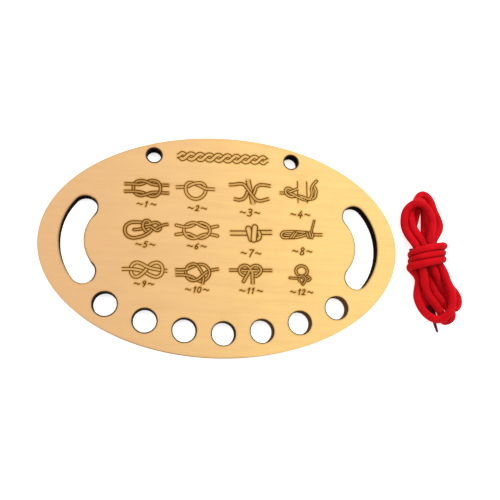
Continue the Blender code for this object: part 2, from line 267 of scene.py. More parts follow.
@dataclass(frozen=True)
class BirchVeneer:
    """Bare sanded birch with laser lines and scorch beside each cut.

    What lies beside a cut reaches so many mm, and beside a line so many of its half widths.
    """

    # From left to right the face turns paler and yellower: partly the veneer's own tone, partly painted light
    left: Colour = (0.63, 0.377, 0.178)
    right: Colour = (0.79, 0.520, 0.183)
    streak: Colour = (0.53, 0.300, 0.115)
    toast: Colour = (0.40, 0.190, 0.042)
    burn: Colour = (0.078, 0.027, 0.001)
    char: Colour = (0.014, 0.007, 0.004)
    halo: Colour = (0.44, 0.205, 0.005)
    tone_change: Point2 = (-0.1425, 0.135)
    grain_turn: float = 0.035
    slot_start: Point2 = (0.1050, 0.1085)
    hang_start: Point2 = (0.045, 0.055)
    sooty_end: Point2 = (-0.11, 0.03)
    scorch_reach: Point2 = (0.1, 2.4)
    singe_reach: Point2 = (0.30, 1.00)
    halo_reach: Point2 = (1.0, 4.4)
    burn_reach: Point2 = (0.62, 1.42)
    relief: float = 0.00005

    def dress(self, name: str, engraved: bool) -> bpy.types.Material:
        """Make the material.

        Args:
            name: Name of the material.
            engraved: Whether the piece carries the line attribute.

        Returns:
            The material.
        """
        r = Recipe(name)
        x, y, _ = r.axes(r.place())
        broad = r.noise((20.0, 88.0, 20.0), 3.0)
        grain = r.noise((26.0, 900.0, 26.0), 4.0, 0.62, turn=self.grain_turn)
        bands = r.noise((9.0, 190.0, 9.0), 3.0, 0.55, (3.1, 0.0, 0.0), self.grain_turn)
        mottle = r.noise((45.0, 90.0, 45.0), 3.0, 0.6, (0.0, 2.0, 0.0))
        pores = r.step(r.noise((230.0, 5200.0, 230.0), 1.0), 0.66, 0.74)
        smoke = r.noise(180.0, 3.0)
        # Paler and yellower to the right: partly the veneer's own tone, partly painted light
        wood = r.mix(r.step(x + (broad - 0.5) * 0.10, *self.tone_change), self.left, self.right)
        for figure, low, high, share in (
            (bands, 0.42, 0.75, 0.17), (mottle, 0.48, 0.78, 0.16), (grain, 0.45, 0.80, 0.20),
        ):
            wood = r.mix(r.step(figure, low, high) * share, wood, self.streak)
        wood = r.mix(pores * 0.22, wood, self.toast)
        cut = r.attribute("cut_distance") / MM
        inner, slot = inner_cut(r, x, y), r.step(x.size(), *self.slot_start)
        scorch = 1.0 - r.step(cut - (smoke - 0.5) * 1.4, *self.scorch_reach)
        wood = r.mix(scorch * (0.05 + inner * 0.40), wood, self.toast)
        left_holes = (1.0 - slot) * (1.0 - r.step(x, *self.sooty_end))
        sooty = 0.12 + r.step(y, *self.hang_start) * 0.25 + left_holes * 0.30
        singe = 1.0 - r.step(cut - (smoke - 0.5) * 0.3 - sooty, *self.singe_reach)
        wood = r.mix(singe * (0.06 + inner * (0.90 - slot * 0.55)), wood, self.char)
        height = grain * 0.5 + bands * 0.25 - pores * 0.35
        rough = 0.56 + grain * 0.12
        if engraved:
            line = r.attribute("line_distance")
            halo = 1.0 - r.step(line + (smoke - 0.5), *self.halo_reach)
            wood = r.mix(halo * 0.60, wood, self.halo)
            wood = r.mix(r.attribute("stain"), wood, self.toast)
            burn = 1.0 - r.step(line + (r.noise(900.0) - 0.5) * 0.35, *self.burn_reach)
            wood = r.mix(burn * 0.97, wood, self.burn)
            rough = rough + burn * 0.2
        return r.finish({"Base Color": wood, "Roughness": rough, "Specular IOR Level": 0.12,
                         "Normal": r.bump(height, self.relief, 0.6)})


@dataclass(frozen=True)
class CharredCut:
    """A laser-cut wall: charred ply edge, with upright striations from the beam, and painted light on the
    walls of the row's right-hand holes.
    """

    dark: Colour = (0.0016, 0.0010, 0.0007)
    brown: Colour = (0.052, 0.022, 0.009)
    # Painted light on the walls of the row's right-hand holes
    tan: Colour = (0.15, 0.072, 0.026)
    rim: Colour = (0.42, 0.250, 0.120)
    row_paling: Point2 = (-0.05, 0.09)
    row_top: Point2 = (-0.041, -0.038)
    brown_share: float = 0.95
    rim_share: float = 1.0
    pitting: float = 0.2
    relief: float = 0.00008

    def dress(self, name: str) -> bpy.types.Material:
        """Make the material.

        Args:
            name: Name of the material.

        Returns:
            The material.
        """
        r = Recipe(name)
        beam = r.noise((1500.0, 1500.0, 60.0))
        patch = r.noise((90.0, 90.0, 240.0), 3.0)
        pit = r.noise((4200.0, 4200.0, 2600.0), 1.0)
        x, y, _ = r.axes(r.place())
        inner = inner_cut(r, x, y)
        share = r.step(patch * 0.6 + beam * 0.4, 0.36, 0.66) * self.brown_share
        colour = r.mix(share * (1.0 - inner * 0.85), self.dark, self.brown)
        # Painted light: the row's hole walls are painted paler towards the right, below the row's top
        row = inner * r.step(x, *self.row_paling) * (1.0 - r.step(y, *self.row_top))
        colour = r.mix(row * (0.5 + beam * 0.5), colour, self.tan)
        bare = (0.45 + beam * 0.45) * self.rim_share
        colour = r.mix((1.0 - inner) * bare, colour, self.rim)
        return r.finish({"Base Color": colour, "Roughness": 0.72 + beam * 0.25, "Specular IOR Level": 0.02,
                         "Normal": r.bump(beam * 0.6 + pit * self.pitting, self.relief, 0.7)})


@dataclass(frozen=True)
class RoundBraid:
    """Red synthetic braid: two families of strands that pass over and under each other, with painted light on
    the yarn tops, painted shade in the grooves between yarns and painted shade where strands of the hank
    meet.
    """

    # Painted light on the tops of the yarns and painted shade in the grooves between them
    crest: Colour = (0.88, 0.004, 0.012)
    crease: Colour = (0.135, 0.0007, 0.0022)
    # Painted shade where strands of the hank meet
    pressed: Colour = (0.070, 0.0004, 0.0012)
    singed: Colour = (0.030, 0.003, 0.006)
    singed_length: float = 0.011
    singed_fade: float = 0.004
    strands: float = 16.0
    yarns: float = 4.0
    pitch: float = 0.00136
    crest_range: Point2 = (0.22, 0.82)
    relief: float = 0.00036
    sheen: float = 0.04

    def dress(self, name: str) -> bpy.types.Material:
        """Make the material.

        Args:
            name: Name of the material.

        Returns:
            The material.
        """
        r = Recipe(name)
        round_it, along, _ = r.axes(r.node("ShaderNodeUVMap", {"uv_map": "run"}).outputs[0])
        turn = round_it * self.strands
        run = along / self.pitch
        first, second = turn + run, turn - run
        over = ((first.floor() + second.floor()) * 0.5).fraction().above(0.25)
        across_first = (first.fraction() * math.pi).sine()
        across_second = (second.fraction() * math.pi).sine()
        top = across_first ** 0.6 * (0.55 + across_second * 0.45)
        other = across_second ** 0.6 * (0.55 + across_first * 0.45)
        braid = top * over + other * (1.0 - over)
        yarn = ((first * over + second * (1.0 - over)) * (math.tau * self.yarns)).sine() * 0.5 + 0.5
        fuzz = r.noise(2600.0)
        wear = r.noise(70.0)
        height = braid * 0.75 + yarn * 0.12 + fuzz * 0.2
        lit = braid * 0.8 + yarn * 0.1 + (fuzz - 0.5) * 0.5 + (wear - 0.5) * 0.3
        contact = r.step(r.attribute("contact"), 0.0, 1.0)
        # Painted light and shade: lit yarn tops, shaded grooves between yarns
        colour = r.mix(r.step(lit, *self.crest_range), self.crease, self.crest)
        # Painted shade: darker where the cord meets another strand of the hank
        colour = r.mix(contact * 0.85, colour, self.pressed)
        melted = 1.0 - r.step(along, self.singed_length, self.singed_length + self.singed_fade)
        return r.finish({"Base Color": r.mix(melted * 0.94, colour, self.singed),
                         "Roughness": 0.70 + (1.0 - braid) * 0.2, "Specular IOR Level": 0.06,
                         "Sheen Weight": self.sheen, "Sheen Roughness": 0.45, "Sheen Tint": (1.0, 0.10, 0.12),
                         "Normal": r.bump(height, self.relief, 0.9)})


@dataclass(frozen=True)
class FusedEnd:
    """Cord melted and drawn out to a dark point."""

    dark: Colour = (0.075, 0.002, 0.008)
    red: Colour = (0.24, 0.006, 0.020)
    relief: float = 0.0002

    def dress(self, name: str) -> bpy.types.Material:
        """Make the material.

        Args:
            name: Name of the material.

        Returns:
            The material.
        """
        r = Recipe(name)
        ripple = r.noise(700.0, 3.0)
        bead = r.noise(2300.0)
        return r.finish({"Base Color": r.mix(r.step(ripple, 0.35, 0.75), self.dark, self.red),
                         "Roughness": 0.42 + bead * 0.3, "Coat Weight": 0.05 + ripple * 0.1,
                         "Specular IOR Level": 0.2,
                         "Normal": r.bump(ripple * 0.7 + bead * 0.3, self.relief, 0.7)})


@dataclass(frozen=True)
class PaleTable:
    """The plain pale floor."""

    colour: Colour = (0.93, 0.93, 0.93)
    paler: float = 1.01
    glow: float = 0.64

    def dress(self, name: str) -> bpy.types.Material:
        """Make the material.

        Args:
            name: Name of the material.

        Returns:
            The material.
        """
        r = Recipe(name)
        pale = tuple(min(1.0, part * self.paler) for part in self.colour)
        return r.finish({"Base Color": r.mix(r.noise(2.0), self.colour, pale), "Roughness": 0.85,
                         "Emission Color": (1.0, 1.0, 1.0), "Emission Strength": self.glow})


# Objects and their meshes
def put_in_scene(name: str, data: bpy.types.ID) -> bpy.types.Object:
    """Make an object and link it to the scene.

    Args:
        name: Name of the object.
        data: Its mesh, lamp or camera.

    Returns:
        The new object.
    """
    made = bpy.data.objects.new(name, data)
    bpy.context.scene.collection.objects.link(made)
    return made


def mesh_of(shape: bmesh.types.BMesh, name: str) -> bpy.types.Mesh:
    """Turn a finished bmesh into a mesh, and free it.

    Args:
        shape: The bmesh.
        name: Name of the mesh.

    Returns:
        The new mesh.
    """
    mesh = bpy.data.meshes.new(name)
    shape.to_mesh(mesh)
    shape.free()
    return mesh


def store(mesh: bpy.types.Mesh, name: str, values: np.ndarray) -> None:
    """Keep a number on each vertex for the finish to read."""
    mesh.attributes.new(name, "FLOAT", "POINT").data.foreach_set("value", values.astype(np.float32))


def add_piece(mesh: bpy.types.Mesh, name: str, node: str) -> bpy.types.Object:
    """Put a finished mesh in the scene as a piece of the object.

    Args:
        mesh: Its mesh, already in place.
        name: Name of the piece.
        node: The CAD node that it replaces.

    Returns:
        The new object.
    """
    piece = put_in_scene(name, mesh)
    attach(piece, "root")
    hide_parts(node)
    LOG.info("%s: %d vertices, %d faces", name, len(mesh.vertices), len(mesh.polygons))
    return piece


# Camera, floor and light
@dataclass(frozen=True)
class Viewpoint:
    """Where the photograph was taken from."""

    place: Point3 = (-0.0553, -0.11434, 0.44883)
    turns: Point3 = (9.596, -7.087, 1.219)
    lens: float = 39.50
    sensor: float = 36.0
    shift: Point2 = (0.0523, 0.0842)
    clip: Point2 = (0.01, 50.0)

    def build(self) -> None:
        """Make the scene's camera."""
        data = bpy.data.cameras.new("viewpoint")
        data.sensor_width = self.sensor
        data.lens = self.lens
        data.shift_x, data.shift_y = self.shift
        data.clip_start, data.clip_end = self.clip
        about_x, about_y, about_z = (
            Matrix.Rotation(math.radians(turn), 4, axis) for turn, axis in zip(self.turns, "XYZ"))
        camera = put_in_scene("viewpoint", data)
        camera.matrix_world = Matrix.Translation(self.place) @ about_x @ about_y @ about_z
        bpy.context.scene.camera = camera


@dataclass
class Studio:
    """Pale floor and plain soft light: each lamp has a name, a place, a width and a power."""

    floor_half: float = 20.0
    sky: float = 0.62
    lamps: tuple[tuple[str, Point3, float, float], ...] = (
        ("key", (0.62, 0.55, 1.05), 1.0, 13.5),
        ("fill", (-0.85, 0.35, 1.30), 1.2, 7.0),
    )

    def build(self) -> None:
        """Make the floor, the lamps and the surrounding light."""
        shape = bmesh.new()
        bmesh.ops.create_grid(shape, x_segments=1, y_segments=1, size=self.floor_half)
        mesh = mesh_of(shape, "floor")
        mesh.materials.append(PaleTable().dress("pale_table"))
        put_in_scene("floor", mesh)
        for name, place, size, power in self.lamps:
            data = bpy.data.lights.new(name, "AREA")
            data.shape = "DISK"
            data.size = size
            data.energy = power
            facing = Vector(place).to_track_quat("Z", "Y").to_matrix().to_4x4()
            put_in_scene(name, data).matrix_world = Matrix.Translation(place) @ facing
        world = bpy.data.worlds.new("soft_surround")
        world.use_nodes = True
        background = world.node_tree.nodes["Background"]
        background.inputs["Color"].default_value = (1.0, 1.0, 1.0, 1.0)
        background.inputs["Strength"].default_value = self.sky
        bpy.context.scene.world = world
        bpy.context.scene.view_settings.view_transform = "Standard"


# Curves through stations
def smooth_curve(points: Iterable, per_span: int = 8) -> np.ndarray:
    """A smooth curve through the stations, with centripetal spacing.

    Args:
        points: The stations, in any number of dimensions.
        per_span: Points on each span.

    Returns:
        The points of the curve.
    """
    knots = np.asarray(points, float)
    knots = np.vstack([2 * knots[0] - knots[1], knots, 2 * knots[-1] - knots[-2]])
    curve = []
    for p0, p1, p2, p3 in zip(knots, knots[1:], knots[2:], knots[3:]):
        t1 = np.linalg.norm(p1 - p0) ** 0.5
        t2 = t1 + np.linalg.norm(p2 - p1) ** 0.5
        t3 = t2 + np.linalg.norm(p3 - p2) ** 0.5
        for t in np.linspace(t1, t2, per_span, endpoint=False):
            a1 = p0 + (p1 - p0) * t / t1
            a2 = p1 + (p2 - p1) * (t - t1) / (t2 - t1)
            a3 = p2 + (p3 - p2) * (t - t2) / (t3 - t2)
            b1 = a1 + (a2 - a1) * t / t2
            b2 = a2 + (a3 - a2) * (t - t1) / (t3 - t1)
            curve.append(b1 + (b2 - b1) * (t - t1) / (t2 - t1))
    curve.append(knots[-2])
    return np.array(curve)


def run_lengths(points: np.ndarray) -> np.ndarray:
    """Distance along the points at each of them."""
    return np.concatenate(([0.0], np.cumsum(np.linalg.norm(np.diff(points, axis=0), axis=1))))


def at_distances(points: np.ndarray, distances: np.ndarray | list,
                 run: np.ndarray | None = None) -> np.ndarray:
    """Points at the given distances.

    Args:
        points: The line's points.
        distances: Where to read the line.
        run: Distance along the line at each point, if already known.

    Returns:
        One row for each distance.
    """
    run = run_lengths(points) if run is None else run
    return np.stack([np.interp(distances, run, column) for column in points.T], axis=1)


def evenly(points: np.ndarray, step: float) -> np.ndarray:
    """The line with even spacing."""
    total = run_lengths(points)[-1]
    return at_distances(points, np.linspace(0.0, total, max(2, int(total / step) + 1)))


def unit_rows(vectors: np.ndarray) -> np.ndarray:
    """Each row at length one."""
    return vectors / np.linalg.norm(vectors, axis=1)[:, None]


def ways_along(points: np.ndarray) -> tuple[np.ndarray, np.ndarray]:
    """The direction of a flat line at each point, and the one square to it on the left."""
    ways = unit_rows(np.gradient(points, axis=0))
    return ways, np.stack([-ways[:, 1], ways[:, 0]], axis=1)


def on_circle(angles: np.ndarray) -> np.ndarray:
    """Points of the unit circle at these angles."""
    return np.stack([np.cos(angles), np.sin(angles)], axis=1)


# The cord
@dataclass(frozen=True)
class Bight:
    """One bight of the hank: shoulder and crown along it, sides across it, and its layers."""

    shoulder: float
    crown: float
    left: float
    right: float
    belly_left: float
    belly_right: float
    layers: Point3


@dataclass(frozen=True)
class Lane:
    """One strand's place in the waist: across at its upper and lower mouth, and its layer."""

    upper: float
    lower: float
    layer: int


@dataclass
class Hank:
    """The cord wound up beside the plate, in its own frame: X across, Y along, Z up."""

    place: Point3 = (0.178, -0.0045, 0.0)
    turn: float = 7.0
    diameter: float = 0.0065
    strand_gap: float = 0.0001
    flattening: Point2 = (1.05, 0.95)
    waist_half: float = 0.010
    waist_centre: float = -0.0008
    upper: tuple[Bight, ...] = (
        Bight(0.042, 0.0570, 0.0046, 0.0180, -0.0036, 0.0062, (0, 0, 0)),
        Bight(0.038, 0.0495, -0.0095, 0.0046, -0.0012, 0.0008, (1, 1, 0)),
        Bight(0.030, 0.0471, -0.0150, 0.0084, -0.0010, 0.0002, (1.3, 2, 2)),
    )
    lower: tuple[Bight, ...] = (
        Bight(-0.038, -0.0490, 0.0118, 0.0235, -0.0004, 0.0, (0, 0, 0)),
        Bight(-0.050, -0.0575, 0.0036, 0.0165, -0.0058, -0.0050, (1, 0, 0.6)),
        Bight(-0.035, -0.0550, -0.0130, 0.0145, 0.0, 0.0, (1, 1, 1.6)),
    )
    climbing: tuple[Lane, ...] = (Lane(-0.006, -0.0085, 1), Lane(-0.004, 0.002, 2), Lane(-0.010, -0.009, 2))
    falling: tuple[Lane, ...] = (Lane(0.009, 0.008, 1), Lane(0.0008, 0.001, 1), Lane(0.0028, 0.0078, 2))
    tail: tuple[Point3, ...] = (
        (0.0006, -0.0670, 0), (0.0000, -0.0540, 0), (-0.0051, -0.0390, 0), (-0.0070, -0.0250, 0.2))
    turn_in: Point3 = (-0.0064, -0.0180, 0.8)
    crown_stations: int = 5
    tuck_along: float = 0.0082
    tuck_across: Point3 = (0.0045, -0.0040, -0.0125)
    wrap_turns: float = 2.64
    wrap_half_layers: float = 1.5
    wrap_middle: float = 1.08
    wrap_level: float = 0.15
    wrap_half_width: float = 0.0126
    wrap_rise: float = 0.0062
    wrap_shift: float = 0.42
    wrap_lean: float = -0.02
    wrap_squareness: float = 2.7
    wrap_centre: Point2 = (-0.0016, -0.0022)
    wrap_stations: int = 24
    settle_step: float = 0.0025
    settle_rounds: int = 420
    easing_share: float = 0.6
    easing_pull: float = 0.01
    easing_side: float = 0.25
    settle_sink: float = 0.00005
    wrap_give: float = 0.0011
    waist_give: float = 0.0007
    pair_margin: float = 0.002
    pair_refresh: int = 6
    neighbour_diameters: float = 2.4
    tip_length: float = 0.0125
    seat_gap: float = 0.0003
    ring_step: float = 0.0006
    sides: int = 28
    # How far the painted shade reaches from where strands meet
    contact_reach: float = 0.0013
    leg_places: Point2 = (0.45, 0.55)
    leg_heights: Point2 = (0.4, 0.6)
    tip_steps: int = 32
    tip_profile: tuple[Point2, ...] = (
        (0.0, 0.0), (0.00300, 0.0), (0.00296, 0.0003), (0.0027, 0.0008), (0.0022, 0.0014),
        (0.00172, 0.0021), (0.00142, 0.0030), (0.00130, 0.0044), (0.00126, 0.0070),
        (0.00120, 0.0094), (0.00104, 0.0107), (0.00076, 0.0117), (0.00038, 0.0123))
    tip_flatness: float = 0.35
    tip_lump: float = 0.05
    tip_lump_pitch: float = 2200.0
    tip_lump_count: float = 3.0
    tip_merge: float = 0.000002
    tip_seat: float = 0.3
    facing_rings: int = 6
    path_step: float = 0.003

    @property
    def pitch(self) -> float:
        """From the middle of one strand to the middle of the next, where they lie side by side."""
        return self.diameter + self.strand_gap

    def layer_height(self, layer: float) -> float:
        """Height of a strand's centre line in one layer."""
        return self.diameter / 2 + layer * self.pitch

    def crown(self, bight: Bight, rising: bool) -> list[Point3]:
        """Half an ellipse over the end of one bight.

        Args:
            bight: The bight.
            rising: Whether it is crossed from left to right, as the upper ones are.

        Returns:
            The stations.
        """
        middle, half = (bight.left + bight.right) / 2, (bight.right - bight.left) / 2
        points = []
        for k in range(self.crown_stations):
            turned = k * math.pi / (self.crown_stations - 1)
            angle = math.pi - turned if rising else turned
            layer = float(np.interp(math.cos(angle), (-1, 0, 1), bight.layers))
            along = bight.shoulder + (bight.crown - bight.shoulder) * math.sin(angle)
            points.append((middle + half * math.cos(angle), along, self.layer_height(layer)))
        return points

    def leg(self, lane: Lane, bight: Bight, right_side: bool) -> list[Point3]:
        """One leg of a bight, from the mouth of the waist outwards.

        Args:
            lane: The strand's place in the waist.
            bight: The bight that it belongs to.
            right_side: Whether it is the bight's right leg.

        Returns:
            The lane's place at the mouth, and the middle of the leg.
        """
        upper = bight.shoulder > 0
        mouth = self.waist_half if upper else -self.waist_half
        across = self.waist_centre + (lane.upper if upper else lane.lower)
        side, belly, layer = ((bight.right, bight.belly_right, bight.layers[2]) if right_side
                              else (bight.left, bight.belly_left, bight.layers[0]))
        outer, inner = self.layer_height(layer), self.layer_height(lane.layer)
        middle = (
            self.leg_places[0] * across + self.leg_places[1] * side + belly,
            (mouth + bight.shoulder) / 2,
            self.leg_heights[1] * outer + self.leg_heights[0] * inner,
        )
        return [(across, mouth, inner), middle]

    def wraps(self) -> list[Point3]:
        """Turns round the waist: a squared ellipse that climbs along the hank.

        Returns:
            The stations.
        """
        half_height = self.wrap_half_layers * self.pitch
        middle = self.diameter / 2 + half_height
        power = 2 / self.wrap_squareness
        points = []
        for k in range(int(self.wrap_turns * self.wrap_stations) + 1):
            angle = math.pi - math.tau * k / self.wrap_stations
            cosine, sine = math.cos(angle), math.sin(angle)
            rise = self.wrap_rise * (max(k / self.wrap_stations, self.wrap_level) - self.wrap_middle)
            across = math.copysign(abs(cosine) ** power, cosine) * self.wrap_half_width
            points.append((
                self.wrap_centre[0] + self.wrap_shift * rise + across,
                self.wrap_centre[1] + rise - self.wrap_lean * self.wrap_half_width * cosine,
                middle + math.copysign(abs(sine) ** power, sine) * half_height,
            ))
        return points

    def stations(self) -> list[Point3]:
        """The whole route: tail, bights above and below in turn, the wraps and the tucked end.

        Returns:
            The stations, in the order that the cord takes them.
        """
        points = [(across, along, self.layer_height(layer)) for across, along, layer in self.tail]
        first = self.climbing[0]
        points.append((self.waist_centre + first.lower, -self.waist_half, self.layer_height(first.layer)))
        for k, (upper, lower) in enumerate(zip(self.upper, self.lower)):
            points += self.leg(self.climbing[k], upper, False) + self.crown(upper, True)
            points += self.leg(self.falling[k], upper, True)[::-1]
            points += self.leg(self.falling[k], lower, True) + self.crown(lower, False)
            if k < len(self.lower) - 1:
                points += self.leg(self.climbing[k + 1], lower, False)[::-1]
        across, along, layer = self.turn_in
        points.append((across, along, self.layer_height(layer)))
        points += self.wraps()
        return points + [(across, self.tuck_along, self.layer_height(0)) for across in self.tuck_across]

    def give(self, points: np.ndarray) -> np.ndarray:
        """How far the soft cord is squeezed: most in the wraps, less in the waist.

        Args:
            points: The route, evenly spaced.

        Returns:
            A depth for each point.
        """
        first_wrap = np.linalg.norm(points - np.array(self.wraps()[0]), axis=1).argmin()
        squeezed = np.where(np.abs(points[:, 1]) < self.waist_half, self.waist_give, 0.0)
        squeezed[first_wrap:] = self.wrap_give
        return squeezed

    def settle(self, points: np.ndarray) -> np.ndarray:
        """Push the strands apart until they clear, easing the shape back and down at first.

        Args:
            points: The route, evenly spaced.

        Returns:
            The settled route.
        """
        rest = points.copy()
        give = self.give(points)
        own_share = 1 - 2 * self.easing_side
        for k in range(self.settle_rounds):
            slack = max(0.0, 1.0 - k / (self.easing_share * self.settle_rounds))
            if slack > 0:
                move = points - rest
                move[1:-1] = move[1:-1] * own_share + (move[:-2] + move[2:]) * self.easing_side
                points = rest + move * (1 - self.easing_pull * slack)
                points[:, 2] -= self.settle_sink * slack
            if k % self.pair_refresh == 0:
                run = run_lengths(points)
                apart = np.linalg.norm(points[:, None] - points[None], axis=2)
                far = (run[None] - run[:, None]) > self.neighbour_diameters * self.diameter
                first, second = np.nonzero((apart < self.pitch + self.pair_margin) & far)
                needed = self.pitch - give[first] - give[second]
            away = points[first] - points[second]
            apart = np.linalg.norm(away, axis=1)
            push = np.clip(needed - apart, 0, None) / apart / 2
            total = np.zeros_like(points)
            count = np.zeros(len(points))
            for ends, sign in ((first, 1.0), (second, -1.0)):
                np.add.at(total, ends, away * (sign * push)[:, None])
                np.add.at(count, ends, push > 0)
            points = points + total / np.sqrt(np.maximum(count, 1.0))[:, None]
            points[:, 2] = np.maximum(points[:, 2], self.diameter / 2)
        return points

    def straight_end(self, points: np.ndarray) -> np.ndarray:
        """Leave room for the tip at the route's end, and run the cord straight for one diameter.

        Args:
            points: The route, with the end to shorten last.

        Returns:
            The shortened route.
        """
        run = run_lengths(points)
        cut = run[-1] - self.tip_length - self.seat_gap - self.diameter
        base = at_distances(points, [cut])[0]
        way = points[-1] - base
        way /= np.linalg.norm(way)
        body = points[run < cut - self.diameter / 4]
        return np.vstack([body, base, base + way * self.diameter])

    def route(self) -> np.ndarray:
        """The cord's centre line, from the tail to the tucked end.

        Returns:
            Its points in the object's frame.
        """
        settled = self.settle(evenly(smooth_curve(self.stations()), self.settle_step))
        local = self.straight_end(self.straight_end(settled)[::-1])[::-1]
        turned = Matrix.Rotation(math.radians(self.turn), 3, "Z")
        return local @ np.array(turned).T + np.array(self.place)

    def tube(self, line: np.ndarray) -> bpy.types.Mesh:
        """Sweep a round section along the line, with a UV map of turn and run in metres.

        Args:
            line: The centre line, evenly spaced.

        Returns:
            The closed tube.
        """
        ways = unit_rows(np.gradient(line, axis=0))
        side = np.cross(ways[0], (0.0, 0.0, 1.0))
        normals = []
        for way in ways:
            side = side - way * (side @ way)
            side /= np.linalg.norm(side)
            normals.append(side)
        normals = np.array(normals)
        others = np.cross(ways, normals)
        angles = np.linspace(0.0, math.tau, self.sides, endpoint=False)
        section = (normals[:, None] * np.cos(angles)[None, :, None]
                   + others[:, None] * np.sin(angles)[None, :, None])
        wide, high = self.flattening
        points = (line[:, None] + section * (wide, wide, high) * self.diameter / 2).reshape(-1, 3)
        last, run = len(line) - 1, run_lengths(line)
        corners = [((k, j), (k, j + 1), (k + 1, j + 1), (k + 1, j))
                   for k in range(last) for j in range(self.sides)]
        corners += [[(0, j) for j in reversed(range(self.sides))], [(last, j) for j in range(self.sides)]]
        mesh = bpy.data.meshes.new("cord")
        mesh.from_pydata(points.tolist(), [], [
            [k * self.sides + j % self.sides for k, j in face] for face in corners])
        turns = [(j / self.sides, run[k]) for face in corners for k, j in face]
        mesh.uv_layers.new(name="run").data.foreach_set("uv", np.array(turns, np.float32).ravel())
        mesh.polygons.foreach_set("use_smooth", [True] * (len(corners) - 2) + [False, False])
        # Painted shade where strands meet, kept on the vertices for the finish
        store(mesh, "contact", self.contact(line, points, run))
        return mesh

    def contact(self, line: np.ndarray, points: np.ndarray, run: np.ndarray) -> np.ndarray:
        """How near each point of the tube is to another strand, for the painted shade where strands meet.

        Args:
            line: The centre line.
            points: The tube's points, ring after ring.
            run: Distance along the centre line at each of its points.

        Returns:
            One number for each point, from 0 well clear to 1 where two strands meet.
        """
        share = np.zeros(len(points))
        for k, centre in enumerate(line):
            near = np.linalg.norm(line - centre, axis=1) < self.diameter + self.contact_reach
            near &= np.abs(run - run[k]) > self.neighbour_diameters * self.diameter
            if near.any():
                ring = slice(k * self.sides, (k + 1) * self.sides)
                apart = np.linalg.norm(points[ring][:, None] - line[near][None], axis=2).min(axis=1)
                share[ring] = np.clip(1.0 - (apart - self.diameter / 2) / self.contact_reach, 0.0, 1.0)
        return share

    def tip(self, name: str, root: np.ndarray, way: np.ndarray) -> bpy.types.Mesh:
        """A fused end, turned from a profile and flattened towards its point, with small lumps.

        Args:
            name: Name of the mesh.
            root: Where the cord stops.
            way: The direction that the cord faces there.

        Returns:
            The tip in place.
        """
        shape = bmesh.new()
        profile = (*self.tip_profile, (0.0, self.tip_length))
        outline = [shape.verts.new((radius, 0.0, height)) for radius, height in profile]
        edges = [shape.edges.new(pair) for pair in zip(outline, outline[1:])]
        bmesh.ops.spin(shape, geom=outline + edges, cent=(0, 0, 0), axis=(0, 0, 1), dvec=(0, 0, 0),
                       angle=math.tau, steps=self.tip_steps, use_merge=True)
        bmesh.ops.remove_doubles(shape, verts=shape.verts[:], dist=self.tip_merge)
        bmesh.ops.recalc_face_normals(shape, faces=shape.faces[:])
        for vert in shape.verts:
            rise = vert.co.z / self.tip_length
            vert.co.y *= 1.0 - self.tip_flatness * rise
            around = math.atan2(vert.co.y, vert.co.x)
            swell = math.sin(self.tip_lump_pitch * vert.co.z + self.tip_lump_count * around)
            lump = 1.0 + self.tip_lump * rise * swell
            vert.co.x *= lump
            vert.co.y *= lump
        axis = Vector(way).normalized()
        seat = Vector(root) + axis * self.seat_gap * self.tip_seat
        bmesh.ops.transform(shape, verts=shape.verts[:], matrix=(
            Matrix.Translation(seat) @ axis.to_track_quat("Z", "Y").to_matrix().to_4x4()))
        mesh = mesh_of(shape, name)
        mesh.polygons.foreach_set("use_smooth", [True] * len(mesh.polygons))
        return mesh

    def build(self) -> None:
        """Make the cord and its two tips."""
        route = self.route()
        fine = evenly(smooth_curve(evenly(route, self.settle_step)), self.ring_step)
        mesh = self.tube(fine)
        mesh.materials.append(RoundBraid().dress("red_braid"))
        cord = add_piece(mesh, "practice_cord", "cord_hank")
        maroon = FusedEnd().dress("fused_end")
        for name, root, before, node in (
            ("tail_tip", fine[0], fine[self.facing_rings], "cord_tip_tail"),
            ("tucked_tip", fine[-1], fine[-1 - self.facing_rings], "cord_tip_tucked"),
        ):
            tip = self.tip(name, root, root - before)
            tip.materials.append(maroon)
            add_piece(tip, name, node)


